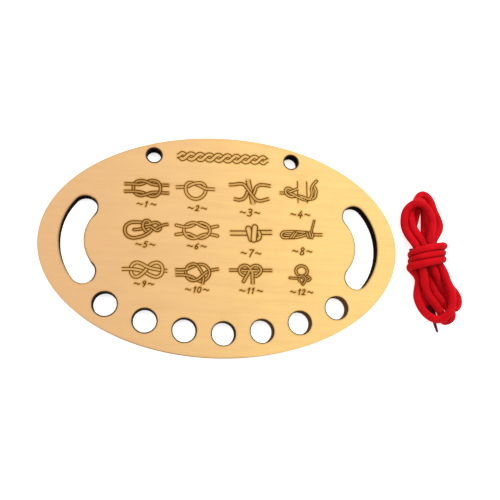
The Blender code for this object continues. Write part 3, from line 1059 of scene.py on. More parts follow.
# The plate
@dataclass
class Plate:
    """The oval plate of seven veneers, with its row of holes, hanging holes and hand slots."""

    length: float = PLATE_LENGTH
    width: float = PLATE_WIDTH
    plies: int = 7
    ply: float = 0.00103
    glue_line: float = 0.0003
    slit: float = 0.00004
    slit_softening: float = 1.5
    hole_radius: float = 0.0095
    hole_pitch: float = 0.0318
    hole_row_radius: float = 0.2125
    hole_edge: float = 0.0102
    hole_count: int = 7
    hang_radius: float = 0.006
    hang_spread: float = 0.0589
    hang_edge: float = 0.0047
    slot_radius: float = 0.0412
    slot_width: float = 0.0195
    slot_half_angle: float = 40.6
    slot_rim: float = 0.01665
    slot_lift: float = 0.0014
    oval_points: int = 288
    hole_points: int = 64
    hang_points: int = 48
    slot_arc_points: int = 40
    slot_end_points: int = 22
    softening: float = 0.00014
    insets: tuple[float, ...] = (0.00014, 0.0005, 0.0011, 0.0019)
    lattice: float = 0.0030
    lattice_clear: float = 0.3
    row_spacing: float = 0.866
    line_clear: float = 0.0011
    close_lattice: float = 0.0012
    close_band: Point2 = (0.0009, 0.0034)
    level_normal: float = 0.3
    sharp_angle: float = 0.9
    farthest_cut: float = 0.02
    least_apart: float = 1e-6

    def rim_height(self, x: float) -> float:
        """Half width of the oval at one place along it."""
        return self.width / 2 * math.sqrt(1.0 - (2 * x / self.length) ** 2)

    def holes(self) -> list[tuple[Point2, float, int]]:
        """The round holes: the row, then the two to hang it by.

        Returns:
            Centre, radius and number of points of each.
        """
        lowest = -(self.width / 2 - self.hole_edge - self.hole_radius)
        found = []
        for k in range(self.hole_count):
            x = (k - (self.hole_count - 1) / 2) * self.hole_pitch
            y = lowest + self.hole_row_radius - math.sqrt(self.hole_row_radius ** 2 - x ** 2)
            found.append(((x, y), self.hole_radius, self.hole_points))
        height = self.rim_height(self.hang_spread) - self.hang_edge - self.hang_radius
        return found + [((side * self.hang_spread, height), self.hang_radius, self.hang_points)
                        for side in (-1, 1)]

    def slot_reach(self) -> float:
        """How far out the centre of each slot's arc lies."""
        return self.length / 2 - self.slot_rim - self.slot_width / 2 - self.slot_radius

    def slot_outline(self, side: int, inset: float) -> np.ndarray:
        """One hand slot: two arcs joined by round ends.

        Args:
            side: 1 for the right one and -1 for the left one.
            inset: How far it is grown into the wood.

        Returns:
            The points of its outline.
        """
        half = math.radians(self.slot_half_angle)
        wide = self.slot_width / 2 + inset
        sweep = np.linspace(-half, half, self.slot_arc_points + 1)
        ends = np.linspace(0.0, math.pi, self.slot_end_points + 1)[1:-1]
        reach = self.slot_reach()
        parts = []
        for radius, angles in ((self.slot_radius + wide, sweep), (self.slot_radius - wide, sweep[::-1])):
            parts.append(radius * on_circle(angles))
            stop = angles[-1]
            centre = np.array([math.cos(stop), math.sin(stop)]) * self.slot_radius
            bearings = ends + (half if stop > 0 else math.pi - half)
            parts.append(centre + wide * on_circle(bearings))
        outline = np.vstack(parts) + (reach, 0.0)
        return outline * (side, 1.0) + (0.0, self.slot_lift)

    def outlines(self, inset: float = 0.0) -> list[np.ndarray]:
        """The oval and every cut-out.

        Args:
            inset: How far each is moved into the wood.

        Returns:
            One loop of points for each.
        """
        circle = on_circle(np.linspace(0.0, math.tau, self.oval_points, endpoint=False))
        half = np.array([self.length / 2, self.width / 2])
        loops = [circle * half - unit_rows(circle / half) * inset]
        for centre, radius, count in self.holes():
            ring = on_circle(np.linspace(0.0, math.tau, count, endpoint=False))
            loops.append(ring * (radius + inset) + centre)
        return loops + [self.slot_outline(side, inset) for side in (-1, 1)]

    def cut_distance(self, points: np.ndarray) -> np.ndarray:
        """How far points are from the nearest cut.

        Args:
            points: The points, flat.

        Returns:
            The distances, positive in the wood.
        """
        half, above_nought = np.array([self.length / 2, self.width / 2]), 1e-9
        scaled = np.linalg.norm(points / half, axis=1) + above_nought
        slope = np.linalg.norm(points / half ** 2, axis=1) / scaled + above_nought
        nearest = (1.0 - scaled) / slope
        for centre, radius, _ in self.holes():
            nearest = np.minimum(nearest, np.linalg.norm(points - centre, axis=1) - radius)
        bend = math.radians(self.slot_half_angle)
        for side in (-1, 1):
            local = (points - (side * self.slot_reach(), self.slot_lift)) * (side, 1.0)
            angle = np.clip(np.arctan2(local[:, 1], local[:, 0]), -bend, bend)
            spine = on_circle(angle) * self.slot_radius
            nearest = np.minimum(nearest, np.linalg.norm(local - spine, axis=1) - self.slot_width / 2)
        return nearest

    def grid(self, step: float) -> np.ndarray:
        """A lattice of staggered rows over the oval.

        Args:
            step: Distance between neighbours in a row.

        Returns:
            Its points.
        """
        rows = np.arange(-self.width / 2, self.width / 2, step * self.row_spacing)
        columns = np.arange(-self.length / 2, self.length / 2, step)
        across = columns[None] + (np.arange(len(rows)) % 2)[:, None] * step / 2
        return np.stack([across, np.broadcast_to(rows[:, None], across.shape)], axis=2).reshape(-1, 2)

    def triangles(self, free: np.ndarray) -> tuple[np.ndarray, np.ndarray]:
        """Join the cut edges and free points by triangles.

        Args:
            free: Points inside the wood.

        Returns:
            The flat vertices and the triangles, seen anticlockwise from above.
        """
        loops = self.outlines()
        edges, first = [], 0
        for loop in loops:
            edges += [(first + k, first + (k + 1) % len(loop)) for k in range(len(loop))]
            first += len(loop)
        known = [Vector(point) for point in (np.vstack(loops + [free]) / MM).tolist()]
        found = delaunay_2d_cdt(known, edges, [], 0, self.least_apart)
        flat = np.array([tuple(vert) for vert in found[0]]) * MM
        faces = np.array([face for face in found[2] if len(face) == 3])
        inside = self.cut_distance(flat[faces].mean(axis=1)) > 0
        faces = faces[inside]
        first_side = flat[faces[:, 1]] - flat[faces[:, 0]]
        second_side = flat[faces[:, 2]] - flat[faces[:, 0]]
        turned = first_side[:, 0] * second_side[:, 1] - first_side[:, 1] * second_side[:, 0] < 0
        faces[turned] = faces[turned][:, ::-1]
        return flat, faces

    def levels(self, index: int) -> tuple[float, float]:
        """Where one veneer lies, a hair's breadth from the next.

        Args:
            index: Which veneer, counted from the back.

        Returns:
            Its lowest and highest level.
        """
        pitch = self.ply + self.glue_line
        grow = (self.glue_line - self.slit) / 2
        low = index * pitch - (grow if index else 0.0)
        high = index * pitch + self.ply + (grow if index < self.plies - 1 else 0.0)
        return low, high

    def free_points(self, engraving: "Engraving | None") -> np.ndarray:
        """Points inside the wood: beside the cuts, along the engraving and on a lattice between.

        Args:
            engraving: What is burnt into the veneer, or None.

        Returns:
            The points, flat.
        """
        free = [np.vstack(self.outlines(inset)) for inset in self.insets]
        lattice = self.grid(self.lattice)
        lattice = lattice[self.cut_distance(lattice) > self.insets[-1] + self.lattice * self.lattice_clear]
        if engraving:
            lattice = lattice[engraving.line_distance(lattice) > self.line_clear]
            close = self.grid(self.close_lattice)
            apart = engraving.line_distance(close)
            near, far = self.close_band
            free += [engraving.mesh_points(), close[(apart > near) & (apart < far)]]
        return np.vstack(free + [lattice])

    def outer_veneer(self, name: str, index: int, engraving: "Engraving | None") -> bpy.types.Mesh:
        """The face or the back: a fine skin with softened cuts, walls and a plain inner side.

        Args:
            name: Name of the mesh.
            index: Which veneer, counted from the back.
            engraving: What is burnt into it, or None.

        Returns:
            The closed mesh, with its distances stored on its vertices.
        """
        flat, faces = self.triangles(self.free_points(engraving))
        height = -self.softening * np.clip(1.0 - self.cut_distance(flat) / self.insets[0], 0.0, 1.0) ** 2
        outer, inner = self.levels(index)
        outside = -1.0
        if engraving:
            outer, inner, outside = inner, outer, 1.0
            height = height - engraving.depth_at(flat)
        else:
            faces = faces[:, ::-1]
        skin = bpy.data.meshes.new(name + "_skin")
        skin.from_pydata(np.column_stack([flat, outer + outside * height]).tolist(), [], faces.tolist())
        shape = bmesh.new()
        shape.from_mesh(skin)
        bpy.data.meshes.remove(skin)
        bmesh.ops.delete(shape, geom=[v for v in shape.verts if not v.link_faces], context="VERTS")
        rim = [edge for edge in shape.edges if edge.is_boundary]
        walls = bmesh.ops.extrude_edge_only(shape, edges=rim)["geom"]
        for part in walls:
            if isinstance(part, bmesh.types.BMVert):
                part.co.z = inner
        base = [part for part in walls if isinstance(part, bmesh.types.BMEdge) and part.is_boundary]
        bmesh.ops.triangle_fill(shape, edges=base, use_beauty=True, normal=(0, 0, -outside))
        for face in shape.faces:
            face.smooth = abs(face.normal.z) > self.level_normal
            face.material_index = 0 if face.smooth else 1
        bmesh.ops.recalc_face_normals(shape, faces=shape.faces[:])
        for edge in shape.edges:
            if len(edge.link_faces) == 2 and edge.calc_face_angle(0.0) > self.sharp_angle:
                edge.smooth = False
        mesh = mesh_of(shape, name)
        places = np.empty(len(mesh.vertices) * 3)
        mesh.vertices.foreach_get("co", places)
        places = places.reshape(-1, 3)[:, :2]
        store(mesh, "cut_distance", np.clip(self.cut_distance(places), 0.0, self.farthest_cut))
        if engraving:
            store(mesh, "line_distance", engraving.line_share(places))
            store(mesh, "stain", engraving.stain(places))
        return mesh

    def inner_veneer(self, name: str, index: int) -> bpy.types.Mesh:
        """A ply between the two skins: only its cut edges show.

        Args:
            name: Name of the mesh.
            index: Which veneer, counted from the back.

        Returns:
            The closed mesh.
        """
        low, high = self.levels(index)
        shape = bmesh.new()
        soft = self.slit * self.slit_softening
        rings = [[[shape.verts.new((x, y, level)) for x, y in loop] for loop in self.outlines(inset)]
                 for level, inset in ((low, soft), (low + soft, 0.0), (high - soft, 0.0), (high, soft))]
        for lower, upper in zip(rings, rings[1:]):
            for below, above in zip(lower, upper):
                for corners in zip(below, below[1:] + below[:1], above[1:] + above[:1], above):
                    shape.faces.new(corners)
        for end, way in ((0, -1), (-1, 1)):
            edges = [shape.edges.get(pair) for loop in rings[end] for pair in zip(loop, loop[1:] + loop[:1])]
            bmesh.ops.triangle_fill(shape, edges=edges, use_beauty=True, normal=(0, 0, way))
        bmesh.ops.recalc_face_normals(shape, faces=shape.faces[:])
        return mesh_of(shape, name)

    def build(self, engraving: "Engraving") -> None:
        """Make and dress every veneer from the back up.

        Args:
            engraving: What is burnt into the face.
        """
        end_grain = CharredCut(brown_share=0.20, rim_share=0.55, pitting=0.6).dress("charred_end_grain")
        walls = (CharredCut().dress("charred_long_grain"), end_grain)
        nodes = ("back_veneer", "lower_crossband", "lower_longband", "centre_core",
                 "upper_longband", "upper_crossband", "face_veneer")
        skins = {0: BirchVeneer().dress("birch_back", False),
                 self.plies - 1: BirchVeneer().dress("birch_face_engraved", True)}
        for index, node in enumerate(nodes):
            name = node + "_dressed"
            if index in skins:
                mesh = self.outer_veneer(name, index, engraving if index else None)
                mesh.materials.append(skins[index])
            else:
                mesh = self.inner_veneer(name, index)
            mesh.materials.append(walls[index % 2])
            add_piece(mesh, name, node)


# The engraving
class RopeEnd(Enum):
    """How a drawn rope stops."""

    OPEN = "open"
    ROUND = "round"


@dataclass(frozen=True)
class Strand:
    """One rope of a drawing: points of its middle as (across, down, lift), in steps."""

    points: tuple[Point3, ...]
    width: float = 38.0
    start: RopeEnd = RopeEnd.OPEN
    end: RopeEnd = RopeEnd.OPEN


@dataclass(frozen=True)
class Drawing:
    """One knot: where it stands on the plate in mm, its number and its ropes.

    The ropes are drawn in steps of their own, so many to the mm across and down, from their own
    middle. The tilt is the slope of the drawing's rows.
    """

    number: int
    centre: Point2
    middle: Point2
    steps: Point2
    tilt: float
    label: Point2
    strands: tuple[Strand, ...]
    label_scale: float = 1.0
    boldness: float = 1.0
    stain: float = 0.0
    curve_steps: int = 10
    spacing: float = 0.25

    def ropes(self) -> list[tuple[np.ndarray, float, Strand]]:
        """Place the ropes on the plate.

        Returns:
            Middle line in mm with its lift, width in mm and strand of each rope.
        """
        found = []
        for strand in self.strands:
            points = np.array(strand.points, float)
            across = (points[:, 0] - self.middle[0]) / self.steps[0]
            down = (points[:, 1] - self.middle[1]) / self.steps[1]
            line = smooth_curve(np.column_stack([
                across + self.centre[0], self.tilt * across - down + self.centre[1], points[:, 2],
            ]), self.curve_steps)
            run = run_lengths(line[:, :2])
            marks = np.linspace(0.0, run[-1], max(4, int(run[-1] / self.spacing)))
            found.append((at_distances(line, marks, run), strand.width / self.steps[0], strand))
        return found


ROUND = RopeEnd.ROUND

REEF = Drawing(1, (-64.1, 46.2), (458, 259), (17.3, 16.4), 0.046, (-64.3, 32.4), (
    Strand(((140, 197, 1), (265, 200, 1), (340, 207, .8), (400, 193, .1), (455, 166, 0), (540, 150, .2),
            (605, 170, .8), (640, 215, 1), (648, 270, 1), (635, 325, 1), (590, 365, .8), (530, 375, .2),
            (460, 352, 0), (405, 325, .1), (340, 310, .8), (265, 304, 1), (140, 303, 1))),
    Strand(((765, 218, .5), (690, 216, .5), (600, 215, .5), (520, 200, .5), (455, 170, .5), (370, 150, .5),
            (300, 170, .5), (268, 215, .5), (262, 255, .5), (270, 300, .5), (310, 345, .5), (380, 364, .5),
            (450, 346, .5), (520, 322, .5), (600, 318, .5), (690, 328, .5), (765, 330, .5))),
), boldness=1.08, stain=0.95)

OVERHAND = Drawing(2, (-23.8, 46.2), (1148, 289), (16.9, 16.2), 0.046, (-22.2, 30.6), (
    Strand(((872, 246, 0), (950, 243, 0), (1008, 240, 0), (1050, 228, .5), (1110, 200, 1), (1180, 185, 1),
            (1245, 193, 1), (1282, 230, .5), (1293, 285, 0), (1270, 350, .5), (1212, 398, .5),
            (1150, 411, .5), (1085, 395, .5), (1032, 348, .5), (1008, 285, 1), (1012, 220, 1),
            (1048, 182, .8), (1095, 184, .2), (1135, 198, 0), (1190, 218, .2), (1240, 243, .6),
            (1295, 266, 1), (1350, 272, 1), (1418, 276, 1)), 42),
), boldness=0.86, stain=0.30)

CLOVE = Drawing(3, (22.2, 46.9), (422, 312), (16.5, 16.0), 0.045, (22.4, 28.6), (
    Strand(((135, 210, 2), (215, 206, 2), (290, 196, 2), (345, 212, 2), (400, 280, 2), (460, 362, 2),
            (515, 425, 2), (580, 440, 2), (640, 425, 2), (692, 412, 2)), 40),
    Strand(((205, 413, 1), (270, 425, 1), (335, 408, 1), (374, 358, 1), (396, 300, 1), (410, 275, 1)), 40),
    Strand(((718, 228, 1), (640, 216, 1), (568, 215, 1), (515, 248, 1), (493, 308, 1), (474, 352, 1)), 40),
    Strand(((402, 148, 0), (420, 240, 0), (447, 370, 0), (470, 478, 0)), 60),
), 1.35, stain=0.50)

TIMBER = Drawing(4, (64.8, 49.3), (1117, 305), (16.1, 15.8), 0.045, (66.0, 28.6), (
    Strand(((1172, 168, 0), (1172, 320, 0), (1174, 465, 0)), 132),
    Strand(((1030, 288, .6), (1000, 268, 1), (962, 262, 1.2), (935, 292, 1.2), (950, 345, 1.2),
            (1010, 378, 1.5), (1070, 375, 1.2), (1125, 372, 1), (1180, 387, 1.6), (1240, 410, 1.6),
            (1300, 414, 1), (1345, 392, 1.6), (1366, 335, 1.6), (1366, 280, 1), (1345, 240, .8)), 34),
    Strand(((1108, 270, 2), (1050, 292, 2), (985, 316, 2)), 32, end=ROUND),
    Strand(((855, 326, .4), (925, 332, .4), (1020, 340, 1), (1080, 372, 1.6), (1140, 402, 1.5),
            (1200, 424, 1.1), (1255, 424, 1.2), (1296, 388, 1.3), (1312, 330, 1.3), (1306, 262, 1.8),
            (1330, 210, 2), (1380, 158, 2)), 32, end=ROUND),
), 1.35, stain=0.15)

BOWLINE = Drawing(5, (-64.4, 11.3), (438, 239), (17.5, 16.8), 0.036, (-64.4, -1.9), (
    Strand(((395, 150, 2), (300, 144, 3), (225, 150, 3), (165, 185, 3), (142, 245, 3), (165, 322, 3),
            (235, 364, 3), (320, 362, 3), (408, 336, 3), (475, 298, 3), (520, 255, 2), (535, 215, 0)), 40),
    Strand(((500, 152, 2), (470, 126, 4), (430, 124, 4), (400, 158, 4), (396, 205, 4), (418, 252, 4),
            (455, 285, 2)), 38),
    Strand(((412, 180, 2), (460, 178, 2.5), (520, 162, 2.5), (575, 150, 2.5), (620, 165, 2.2),
            (643, 205, 2), (638, 245, 2.5), (604, 264, 2.5), (562, 248, 2.5), (525, 216, 2.4),
            (480, 207, 2.2), (430, 222, 2.6), (370, 240, 2.6), (300, 250, 2.6), (272, 250, 2.6)), 36,
            end=ROUND),
    Strand(((755, 173, 3.5), (690, 184, 3.5), (640, 202, 3.5), (595, 226, 3.5), (565, 240, 1)), 34),
), boldness=1.12, stain=0.65)

GRANNY = Drawing(6, (-22.1, 11.6), (1172, 260), (17.1, 16.6), 0.036, (-22.4, -2.0), (
    Strand(((874, 188, 1), (925, 200, 1), (990, 212, 1), (1060, 208, .8), (1120, 182, .1), (1170, 160, 0),
            (1235, 155, .2), (1295, 175, .8), (1337, 212, 1), (1352, 260, 1), (1338, 312, 1),
            (1290, 355, .3), (1228, 372, 0), (1168, 362, .1), (1110, 335, .9), (1055, 312, .6),
            (985, 306, 0), (925, 314, 0), (874, 321, 0)), 38, ROUND, ROUND),
    Strand(((1460, 203, .5), (1415, 212, .5), (1355, 222, .5), (1290, 220, .5), (1225, 196, .5),
            (1170, 165, .5), (1115, 152, .5), (1055, 165, .5), (1008, 195, .5), (985, 235, .5),
            (984, 275, .5), (1008, 325, .5), (1055, 362, .5), (1110, 376, .5), (1168, 366, .5),
            (1215, 342, .5), (1275, 322, .5), (1340, 318, .5), (1405, 328, 1.2), (1460, 342, 1.2)), 38,
            ROUND, ROUND),
), boldness=0.86, stain=0.30)

DOUBLE = Drawing(7, (22.8, 11.4), (436, 290), (16.7, 16.4), 0.036, (23.0, -6.6), (
    Strand(((150, 300, 0), (280, 301, 0), (400, 302, 0)), 60),
    Strand(((560, 291, 0), (640, 292, 0), (732, 292, 0)), 58),
    Strand(((405, 238, 2), (420, 300, 2), (446, 385, 2)), 74, ROUND, ROUND),
    Strand(((522, 395, 1), (558, 370, 1), (567, 325, 1), (552, 285, 1)), 50, ROUND, ROUND),
    Strand(((496, 220, 3), (488, 300, 3), (480, 392, 3)), 78, ROUND, ROUND),
), 1.35, 1.14, stain=0.15)

GRIP = Drawing(8, (66.0, 15.1), (1149, 255), (16.3, 16.2), 0.036, (67.0, -3.6), (
    Strand(((1245, 292, 1), (1180, 288, 1), (1090, 282, 1), (960, 282, 1), (898, 290, 1), (874, 325, 1),
            (898, 362, 1), (960, 368, 1), (1080, 362, 1), (1170, 344, 1), (1240, 322, 1)), 30),
    Strand(((1240, 306, .5), (1160, 320, .5), (1080, 335, .5), (980, 338, .5), (910, 328, .5)), 26,
            end=ROUND),
    Strand(((1004, 366, 2), (1030, 330, 2), (1062, 296, 2)), 32, ROUND, ROUND),
    Strand(((1040, 368, 2.5), (1062, 334, 2.5), (1090, 300, 2.5)), 30, ROUND, ROUND),
    Strand(((1236, 300, 2), (1248, 332, 2), (1252, 362, 2)), 28, ROUND, ROUND),
    Strand(((1272, 296, 2.5), (1284, 330, 2.5), (1284, 364, 2.5)), 30, ROUND, ROUND),
    Strand(((1308, 298, 3), (1320, 332, 3), (1306, 368, 3)), 30, ROUND, ROUND),
    Strand(((1298, 296, 3.5), (1318, 220, 3.5), (1346, 126, 3.5)), 22, end=ROUND),
    Strand(((1330, 324, 1), (1390, 326, 1), (1452, 326, 1)), 34),
), 1.35, stain=0.15)

EIGHT = Drawing(9, (-64.6, -21.6), (421, 229), (17.8, 17.2), 0.027, (-64.8, -34.6), (
    Strand(((102, 243, 3), (200, 243, 3), (290, 250, 2), (365, 265, .5), (425, 288, 0), (490, 322, .5),
            (550, 348, 1), (605, 353, 1.5), (655, 325, 2), (679, 255, 3), (655, 182, 2), (602, 152, 1),
            (535, 165, .8), (485, 203, .5), (440, 255, 1), (385, 312, 1.5), (335, 346, 1.5),
            (282, 350, 1.5), (240, 312, 1.5), (226, 250, 1.5), (244, 182, 1.5), (300, 150, 1.5),
            (370, 166, 1.8), (430, 198, 2), (500, 228, 2), (580, 246, 1.5), (650, 258, 1), (700, 266, .5),
            (745, 268, .5)), 45),
), boldness=0.92)

SHEET = Drawing(10, (-21.8, -24.2), (1172, 293), (17.4, 17.1), 0.027, (-21.8, -38.4), (
    Strand(((862, 252, 1), (960, 255, 1), (1030, 242, 1), (1095, 214, 1), (1150, 192, 1), (1210, 176, 1),
            (1280, 190, 1), (1333, 243, 2.6), (1348, 300, 2.6), (1328, 356, 1.2), (1284, 398, 1),
            (1225, 416, 1), (1165, 398, 1), (1110, 364, 1.5), (1050, 340, 1.6), (975, 328, 1.6),
            (868, 326, 1.6)), 36),
    Strand(((1475, 243, .5), (1400, 256, .5), (1345, 269, .5), (1295, 294, 2), (1235, 346, 2),
            (1180, 388, 2), (1125, 407, 2), (1062, 392, 2), (1020, 348, .8), (1006, 298, 0),
            (1016, 240, .4), (1050, 192, 2), (1108, 170, 2), (1165, 187, 2), (1205, 236, 2), (1243, 302, 1),
            (1262, 370, 1.6), (1248, 456, 1.6)), 36),
), stain=0.58)

COW = Drawing(11, (23.0, -23.5), (444, 301), (16.9, 16.8), 0.027, (22.8, -38.4), (
    Strand(((138, 259, 0), (440, 260, 0), (738, 264, 0)), 36),
    Strand(((432, 236, 2.6), (400, 206, 3), (350, 192, 3), (300, 210, 3), (275, 256, 3), (296, 308, 3),
            (352, 338, 3), (392, 326, 3)), 38),
    Strand(((438, 236, 2.6), (466, 208, 3), (512, 194, 3), (562, 212, 3), (588, 258, 3), (566, 308, 3),
            (520, 342, 3), (482, 348, 3)), 38),
    Strand(((318, 266, 2), (440, 266, 2), (540, 268, 2)), 36),
    Strand(((412, 288, 4), (375, 350, 4), (335, 418, 4)), 40, end=ROUND),
    Strand(((462, 288, 4.5), (463, 370, 4.5), (464, 452, 4.5)), 44),
), stain=0.50)

SLIP = Drawing(12, (65.2, -23.3), (1151, 316), (16.6, 16.7), 0.027, (65.6, -38.6), (
    Strand(((1192, 345, 1), (1232, 312, 1), (1243, 264, 1), (1215, 216, 1), (1160, 198, 1), (1106, 218, 1),
            (1082, 266, 1), (1096, 314, 1), (1136, 345, 1)), 34),
    Strand(((1205, 366, 1.5), (1252, 352, 1.5), (1284, 380, 1.5), (1256, 406, 1.5), (1210, 400, 1.5)), 28),
    Strand(((995, 369, .5), (1050, 373, .5), (1116, 378, .5)), 28, ROUND),
    Strand(((1132, 420, 2), (1122, 388, 2), (1150, 362, 2.5), (1188, 372, 2.5), (1200, 404, 2.5),
            (1196, 430, 2)), 28),
    Strand(((1118, 352, 3), (1165, 340, 3), (1206, 356, 3), (1222, 392, 3), (1204, 428, 3), (1178, 462, 3)),
            28, end=ROUND),
    Strand(((1150, 425, 2.2), (1164, 446, 2.2), (1172, 462, 2.2)), 24),
), stain=0.65)

DIGITS: dict[str, tuple[tuple[Point2, ...], ...]] = {
    "0": (((.30, 1.0), (.08, .80), (.02, .44), (.14, .07), (.34, 0.0), (.54, .20), (.58, .58), (.48, .90),
           (.30, 1.0)),),
    "1": (((.10, .76), (.24, .90), (.36, 1.0)), ((.36, 1.0), (.30, .50), (.26, 0.0))),
    "2": (((.05, .78), (.22, .98), (.46, .94), (.50, .70), (.30, .36), (.02, .03)), ((.02, .03), (.30, .05),
           (.58, .02))),
    "3": (((.06, .90), (.30, 1.0), (.50, .84), (.42, .62), (.20, .54)), ((.20, .54), (.48, .46), (.54, .22),
           (.34, 0.0), (.02, .08))),
    "4": (((.38, 1.0), (.20, .66), (.02, .34)), ((.02, .34), (.30, .35), (.60, .36)), ((.46, .64),
           (.42, .30), (.38, 0.0))),
    "5": (((.56, 1.0), (.36, 1.0), (.18, .98)), ((.18, .98), (.13, .80), (.08, .58)), ((.08, .58),
           (.34, .64), (.54, .40), (.42, .08), (.18, 0.0), (.0, .08))),
    "6": (((.52, .98), (.22, .74), (.04, .34), (.14, .04), (.38, 0.0), (.52, .22), (.40, .44), (.18, .42),
           (.06, .26)),),
    "7": (((.04, .96), (.30, .98), (.58, .98)), ((.58, .98), (.36, .50), (.22, 0.0))),
    "8": (((.32, .54), (.10, .76), (.26, 1.0), (.50, .86), (.44, .64), (.14, .36), (.10, .10), (.32, 0.0),
           (.54, .18), (.44, .42), (.32, .54)),),
    "9": (((.52, .64), (.30, .50), (.10, .66), (.16, .92), (.40, 1.0), (.54, .80), (.48, .36),
           (.30, 0.0)),),
}


class LineFinder:
    """Finds the nearest of the points of many lines, with that line's own values."""

    def __init__(self, lines: Sequence[tuple[np.ndarray, tuple[float, ...]]]) -> None:
        """Sort the points for searching.

        Args:
            lines: Points of each line in mm, and its values.
        """
        self.values = np.concatenate([np.tile(values, (len(line), 1)) for line, values in lines])
        self.tree = KDTree(len(self.values))
        for k, (x, y) in enumerate(np.vstack([line for line, _ in lines])):
            self.tree.insert((x, y, 0.0), k)
        self.tree.balance()

    def find(self, places: np.ndarray) -> tuple[np.ndarray, np.ndarray]:
        """Search from many places.

        Args:
            places: Places on the plate, in metres.

        Returns:
            Distance in mm to the nearest point, and a row of its line's values, for each place.
        """
        hits = [self.tree.find((x, y, 0.0)) for x, y in (places / MM).tolist()]
        return np.array([hit[2] for hit in hits]), self.values[[hit[1] for hit in hits]]


